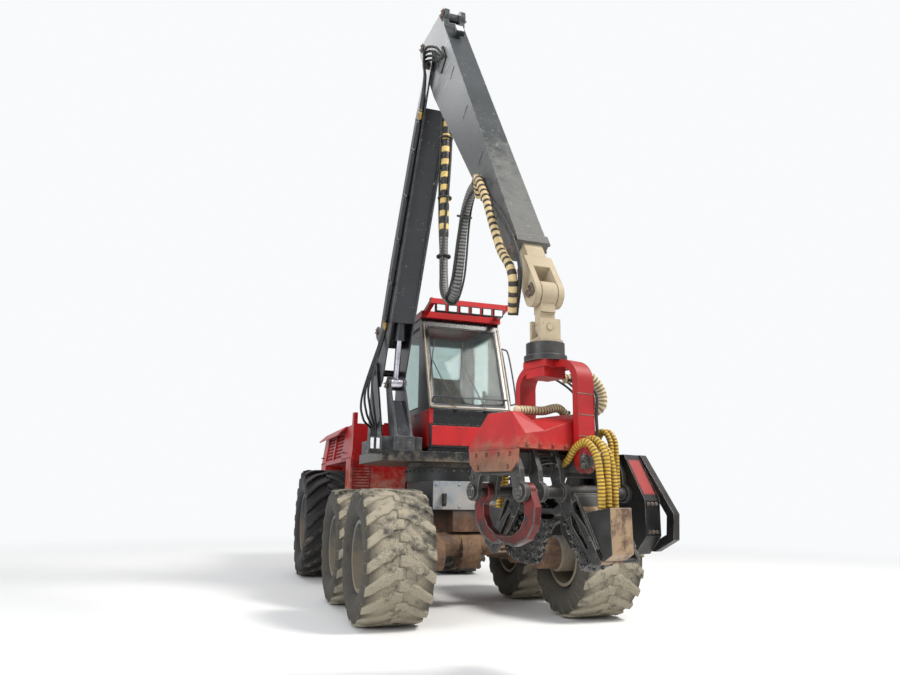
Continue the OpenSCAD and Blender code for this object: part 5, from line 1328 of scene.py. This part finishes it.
        def hose_ends(work):
            for x in arches:
                ferrule(work, (x, -0.060, 0.125), (0, 0, -1), 0.0185, HEAD_AXES, 0.012)
            for side, word, count in bundles:
                for k in range(count):
                    ferrule(work, (-0.030 + 0.060 * k, side * 0.205, 0.003), (0, -side, -0.45), 0.0205,
                            HEAD_AXES, 0.006)
            ferrule(work, (0.190, 0.0, 0.335), (0.3, 0, -1), 0.020, HEAD_AXES, 0.01)
        part("hose_ends", "brass", "head", hose_ends, 0.0)

        # Rollers: end plates, and the motors' bolts
        for side, word in ((-1, "near"), (1, "far")):
            lean = Matrix.Rotation(side * math.radians(27.6), 4, "X")
            axes = HEAD_AXES @ Matrix.Translation((0.100, side * 0.211, -0.320)) @ lean

            def roller_end(work):
                for x, y in circle(8, 0.080):
                    screw(work, axes, (x, y, -0.3460), (0, 0, -1), 0.020, 0.012)
                for foot, tip in zip(circle(24, 0.118), circle(24, 0.131)):
                    for row in range(3):
                        z = -0.045 - 0.115 * row
                        round_bar(work, (*foot, z), (*tip, z), 0.007, axes, 6, 0.004)
            part("roller_studs_" + word, "iron", "feed_roller_" + word, roller_end, 0.0)

            def arm_bolts(work):
                for x, d in ((-0.0805, -1), (0.2805, 1)):
                    for y, z in ((0.245, -0.245), (0.300, -0.300), (0.445, -0.465), (0.490, -0.560),
                                 (0.262, -0.350)):
                        screw(work, HEAD_AXES, (x, side * y, z), (d, 0, 0), 0.020, 0.012)
                for y, z in ((0.42, -0.335), (0.56, -0.300), (0.56, -0.545)):
                    screw(work, HEAD_AXES, (0.1305, side * y, z), (1, 0, 0), 0.016, 0.008)
                for x, y in circle(6, 0.052):
                    screw(work, axes, (x, y, 0.0570), (0, 0, 1), 0.018, 0.012)
            part("arm_bolts_" + word, "dark_iron", "roller_arm_" + word, arm_bolts, 0.0)

            def knife_edge(work):
                x = -0.417 + (0.056 if side > 0 else 0.0)
                outer = [(98, -90), (84, -195), (20, -282), (-100, -328), (-225, -312), (-300, -275)]
                inner = [(86, -92), (73, -188), (13, -271), (-98, -315), (-222, -300), (-296, -267)]
                for k in range(len(outer) - 1):
                    ring = [(u / 1000, v / 1000) for u, v in (outer[k], outer[k + 1], inner[k + 1], inner[k])]
                    for faces in ((x - 0.0015, x + 0.001), (x + 0.049, x + 0.0515)):
                        prism(work, *[[at(face, side * (pin_y + u), pin_z + v) for u, v in ring]
                                      for face in faces])
            part("knife_edge_" + word, "iron", "knife_" + word, knife_edge, 0.0)

        def chain(work):
            chain_x, middle, top, bottom, bend = 0.5663, -0.180, -0.110, -0.535, 0.0475
            straight = top - bottom
            half_turn = math.pi * bend
            count = 58
            for k in range(count):
                d = 2 * (straight + half_turn) * k / count
                if d < straight:
                    y, z, turned = middle + bend, top - d, -math.pi / 2
                elif d < straight + half_turn:
                    a = (d - straight) / bend
                    y, z, turned = middle + bend * math.cos(a), bottom - bend * math.sin(a), -math.pi / 2 - a
                elif d < 2 * straight + half_turn:
                    y, z, turned = middle - bend, bottom + d - straight - half_turn, math.pi / 2
                else:
                    a = (d - 2 * straight - half_turn) / bend
                    y, z, turned = middle - bend * math.cos(a), top + bend * math.sin(a), math.pi / 2 - a
                turn = HEAD_AXES @ Matrix.Translation((chain_x, y, z)) @ Matrix.Rotation(turned, 4, "X")
                wide = 0.0052 if k % 2 else 0.0034
                block(work, (-wide, -0.0075, -0.0035), (wide, 0.0075, 0.0040), turn)
                if k % 4 == 1:
                    block(work, (-0.0040, -0.0065, 0.0030), (0.0040, 0.0010, 0.0095), turn)
        part("saw_chain", "iron", "saw_bar", chain, 0.0)

        def saw_trim(work):
            for s in SIDES:
                for y, z in ((0.20, 0.045), (0.30, -0.12), (0.40, -0.30), (0.45, -0.42), (0.40, -0.50)):
                    screw(work, HEAD_AXES, (0.7105, s * y, z), (1, 0, 0), 0.022, 0.012)
                for x in (0.53, 0.57, 0.61):
                    for z in (-0.26, -0.44):
                        screw(work, HEAD_AXES, (x, s * 0.3995, z), (0, s, 0), 0.018, 0.010)
        part("saw_box_bolts", "rusty", "head", saw_trim, 0.0)

        def worn_tops(work):
            """Thin skins on the saw box's two slanted tops, each between two shares of the slope."""
            run, fall = 0.165, 0.305
            for s in SIDES:
                out = Vector((0, s * fall, run)).normalized()
                quad = [Vector((x, s * (pin_y + run * share), 0.070 - fall * share))
                        for x, share in ((0.515, 0.12), (0.515, 0.88), (0.635, 0.88), (0.635, 0.12))]
                prism(work, *[[HEAD_AXES @ (point + out * lift) for point in quad]
                              for lift in (-0.0004, 0.0012)])
        part("saw_box_paint", "worn_red", "head", worn_tops, 0.0)
        return {"FINISHED"}


class HARVESTER_OT_hood(bpy.types.Operator):
    """Mesh, handles, hinges and louvres of the hood"""
    bl_idname = "harvester.hood"
    bl_label = "Hood"

    def execute(self, context):
        length = 0.750
        for side, word in ((-1, "right"), (1, "left")):
            lean = Matrix.Rotation(-side * math.atan2(0.070, 0.540), 4, "Y")
            for n, start in enumerate((3.350, 4.200)):
                base = CHASSIS @ Matrix.Translation((side * 0.877, start, 1.825)) @ lean

                def grille(work):
                    block(work, (-0.004, 0.004, 0.0), (0.004, length - 0.004, 0.415), base)
                    for k in range(26):
                        x, y = side * 0.004, 0.02 + (length - 0.04) * k / 25
                        block(work, (x - 0.003, y - 0.0025, 0.004), (x + 0.003, y + 0.0025, 0.410), base)
                    for k in range(15):
                        x, z = side * 0.006, 0.015 + 0.385 * k / 14
                        block(work, (x - 0.003, 0.008, z - 0.0025),
                              (x + 0.003, length - 0.008, z + 0.0025), base)
                part(f"grille_mesh_{word}_{n + 1}", "black", "rear", grille, 0.0)

        def side_trim(work):
            for s in SIDES:
                for y in (3.00, 3.24, 5.05, 5.28):
                    block(work, (s * 0.944 - 0.008, y - 0.06, 1.765),
                          (s * 0.944 + 0.008, y + 0.06, 1.775), CHASSIS)
                for y in (3.10, 5.16):
                    for end in (y - 0.07, y + 0.07):
                        round_bar(work, (s * 0.946, end, 1.90), (s * 0.972, end, 1.90), 0.009, CHASSIS, 10)
                    round_bar(work, (s * 0.972, y - 0.078, 1.90), (s * 0.972, y + 0.078, 1.90), 0.010,
                              CHASSIS, 10)
                for y in (2.55, 2.75, 2.95, 3.15, 5.02, 5.20, 5.33):
                    screw(work, CHASSIS, (s * 0.9485, y, 1.80), (s, 0, 0), 0.020, 0.008)
        part("hood_handles", "black", "rear", side_trim, 0.0015)

        # The louvres take the darker red, painted shade on the hood's front wall.
        def louvres(work):
            tilt = Matrix.Rotation(math.radians(35), 4, "X")
            for s in SIDES:
                x = s * 0.785
                for k in range(9):
                    blade = CHASSIS @ Matrix.Translation((x, 2.447, 1.375 + 0.042 * k)) @ tilt
                    block(work, (-0.125, -0.014, -0.002), (0.125, 0.004, 0.002), blade)
                for z in (1.350, 1.745):
                    block(work, (x - 0.135, 2.440, z - 0.006), (x + 0.135, 2.4505, z + 0.006), CHASSIS)
                for post in (x - 0.130, x + 0.130):
                    block(work, (post - 0.006, 2.440, 1.345), (post + 0.006, 2.4505, 1.750), CHASSIS)
        part("hood_louvres", "painted_shade_red", "rear", louvres, 0.001)

        def lid_trim(work):
            for x in (-0.60, -0.2, 0.2, 0.60):
                block(work, (x - 0.012, 2.70, 2.3250), (x + 0.012, 5.20, 2.3330), CHASSIS)
            for s in SIDES:
                for y in (2.72, 3.3, 3.9, 4.5, 5.1):
                    screw(work, CHASSIS, (s * 0.70, y, 2.3253), (0, 0, 1), 0.022, 0.010)
                block(work, (s * 0.35 - 0.07, 2.640, 2.3250), (s * 0.35 + 0.07, 2.655, 2.350), CHASSIS)
        part("lid_ribs", "red", "lid", lid_trim, 0.002)

        def hinges(work):
            for x in (-0.62, 0.0, 0.62):
                for start in (x - 0.060, x + 0.005):
                    round_bar(work, (start, 5.355, 2.326), (start + 0.055, 5.355, 2.326), 0.029, CHASSIS, 20)
        part("lid_knuckles", "black", "lid", hinges, 0.001)

        def back(work):
            tilt = Matrix.Rotation(math.radians(-35), 4, "X")
            for k in range(11):
                blade = CHASSIS @ Matrix.Translation((0, 5.3805, 1.40 + 0.055 * k)) @ tilt
                block(work, (-0.50, -0.004, -0.0025), (0.50, 0.016, 0.0025), blade)
            for z in (1.365, 1.985):
                block(work, (-0.52, 5.378, z - 0.010), (0.52, 5.394, z + 0.010), CHASSIS)
            for x in (-0.51, 0.51):
                block(work, (x - 0.010, 5.378, 1.36), (x + 0.010, 5.394, 1.99), CHASSIS)
        part("rear_louvres", "red", "rear", back, 0.001)
        return {"FINISHED"}


class HARVESTER_OT_chassis(bpy.types.Operator):
    """Bare plate, bolts and hoses of the frames and axles, and trim on the hubs"""
    bl_idname = "harvester.chassis"
    bl_label = "Chassis"

    def execute(self, context):
        part("front_plate", "plate", "front",
             lambda work: block(work, (-0.444, -0.1175, 1.122), (0.444, -0.1135, 1.418), CHASSIS), 0.0)

        def plate_bolts(work):
            for x in (-0.42, -0.14, 0.14, 0.42):
                for z in (1.145, 1.395):
                    screw(work, CHASSIS, (x, -0.1145, z), (0, -1, 0), 0.026, 0.014)
            for s in SIDES:
                block(work, (s * 0.452 - 0.008, -0.120, 1.112), (s * 0.452 + 0.008, -0.1135, 1.428), CHASSIS)
            for z in (1.110, 1.418):
                block(work, (-0.455, -0.120, z), (0.455, -0.1135, z + 0.012), CHASSIS)
        part("front_plate_bolts", "plate", "front", plate_bolts, 0.002)

        def ring_bolts(work):
            radius = 0.5405
            for x, y in circle(36, 1.0):
                screw(work, CHASSIS, (radius * x, 0.750 + radius * y, 1.555), (x, y, 0), 0.022, 0.012)
        part("slew_ring_bolts", "dark_iron", "front", ring_bolts, 0.0)
        for i in range(4):
            x = -0.12 + 0.08 * i
            run = [(x, 1.40, 1.415), (x, 1.46, 1.45), (x * 1.6, 1.70, 1.49), (x * 1.8, 1.95, 1.46),
                   (x * 1.4, 2.18, 1.325 - 0.03 * (i % 2)), (x, 2.30, 1.19)]
            hose(f"centre_hose_{i + 1}", [CHASSIS @ Vector(point) for point in run], 0.016, "black_hose",
                 "front", "rear")

        def axle_bolts(work):
            for s in SIDES:
                for y, z in circle(16, 0.180):
                    screw(work, CHASSIS, (s * 0.6795, 3.740 + y, 0.8225 + z), (-s, 0, 0), 0.026, 0.014)
                for y, z in circle(14, 0.205):
                    screw(work, CHASSIS, (s * 0.1205, 3.680 + y, 0.7475 + z), (s, 0, 0), 0.024, 0.012)
        part("rear_axle_bolts", "rusty", "rear", axle_bolts, 0.0)

        def bogie_bolts(work):
            for s in SIDES:
                for y, z in circle(14, 0.175):
                    screw(work, CHASSIS, (s * 0.1105, 0.020 + y, 0.645 + z), (s, 0, 0), 0.024, 0.012)
        part("bogie_axle_bolts", "rusty", "front", bogie_bolts, 0.0)

        for wheel in WHEELS:
            middle = centre_of("rim_" + wheel)
            side = 1 if middle.x > 0 else -1
            # The tyres stand on the ground, so a wheel's centre is as high as its tyre's radius
            radius = rim_radius(middle.z)

            def hub(work):
                end = Vector((side * HUB_END, middle.y, middle.z))
                out = Vector((side, 0, 0))
                for y, z in circle(8, 0.085):
                    bolt(work, end + Vector((0, y, z)), out, 0.018, 0.012)
                round_bar(work, end, end + out * 0.014, 0.045, PLAIN, 32, 0.038)
                round_bar(work, end + out * 0.012, end + out * 0.028, 0.014, PLAIN, 6)
                stem = Vector((side * 1.18, middle.y + (radius - 0.055), middle.z))
                round_bar(work, stem, stem + Vector((side * 0.055, -0.02, 0)), 0.006, PLAIN, 10)
                bead = [Vector((side * 1.423, middle.y + y, middle.z + z))
                        for y, z in circle(60, radius + 0.0115)]
                for a, b in zip(bead, bead[1:] + bead[:1]):
                    round_bar(work, a, b, 0.006, PLAIN, 6)
            part("hub_trim_" + wheel, "rim", "wheel_" + wheel, hub, 0.0)
        return {"FINISHED"}


CLASSES = [HarvesterPaint, HarvesterSizes, HARVESTER_OT_stage, HARVESTER_OT_finishes, HARVESTER_OT_tyres,
           HARVESTER_OT_wheel_nuts, HARVESTER_OT_crane, HARVESTER_OT_cab, HARVESTER_OT_head,
           HARVESTER_OT_hood, HARVESTER_OT_chassis]


class HARVESTER_PT_panel(bpy.types.Panel):
    """Lists the sizes, the colours and the steps"""
    bl_label = "Harvester"
    bl_idname = "HARVESTER_PT_panel"
    bl_space_type = "VIEW_3D"
    bl_region_type = "UI"
    bl_category = "Harvester"

    def draw(self, context):
        for group in (context.scene.harvester_paint, context.scene.harvester_sizes):
            for name in group.__annotations__:
                self.layout.prop(group, name)
        for step in CLASSES:
            if issubclass(step, bpy.types.Operator):
                self.layout.operator(step.bl_idname)


def register():
    for step in CLASSES + [HARVESTER_PT_panel]:
        bpy.utils.register_class(step)
    bpy.types.Scene.harvester_paint = bpy.props.PointerProperty(type=HarvesterPaint)
    bpy.types.Scene.harvester_sizes = bpy.props.PointerProperty(type=HarvesterSizes)


def unregister():
    del bpy.types.Scene.harvester_sizes
    del bpy.types.Scene.harvester_paint
    for step in reversed(CLASSES + [HARVESTER_PT_panel]):
        bpy.utils.unregister_class(step)


def main():
    """Runs every step in order."""
    register()
    for step in CLASSES:
        if issubclass(step, bpy.types.Operator):
            group, name = step.bl_idname.split(".")
            getattr(getattr(bpy.ops, group), name)()
    bpy.context.view_layer.update()


if __name__ == "__main__":
    main()
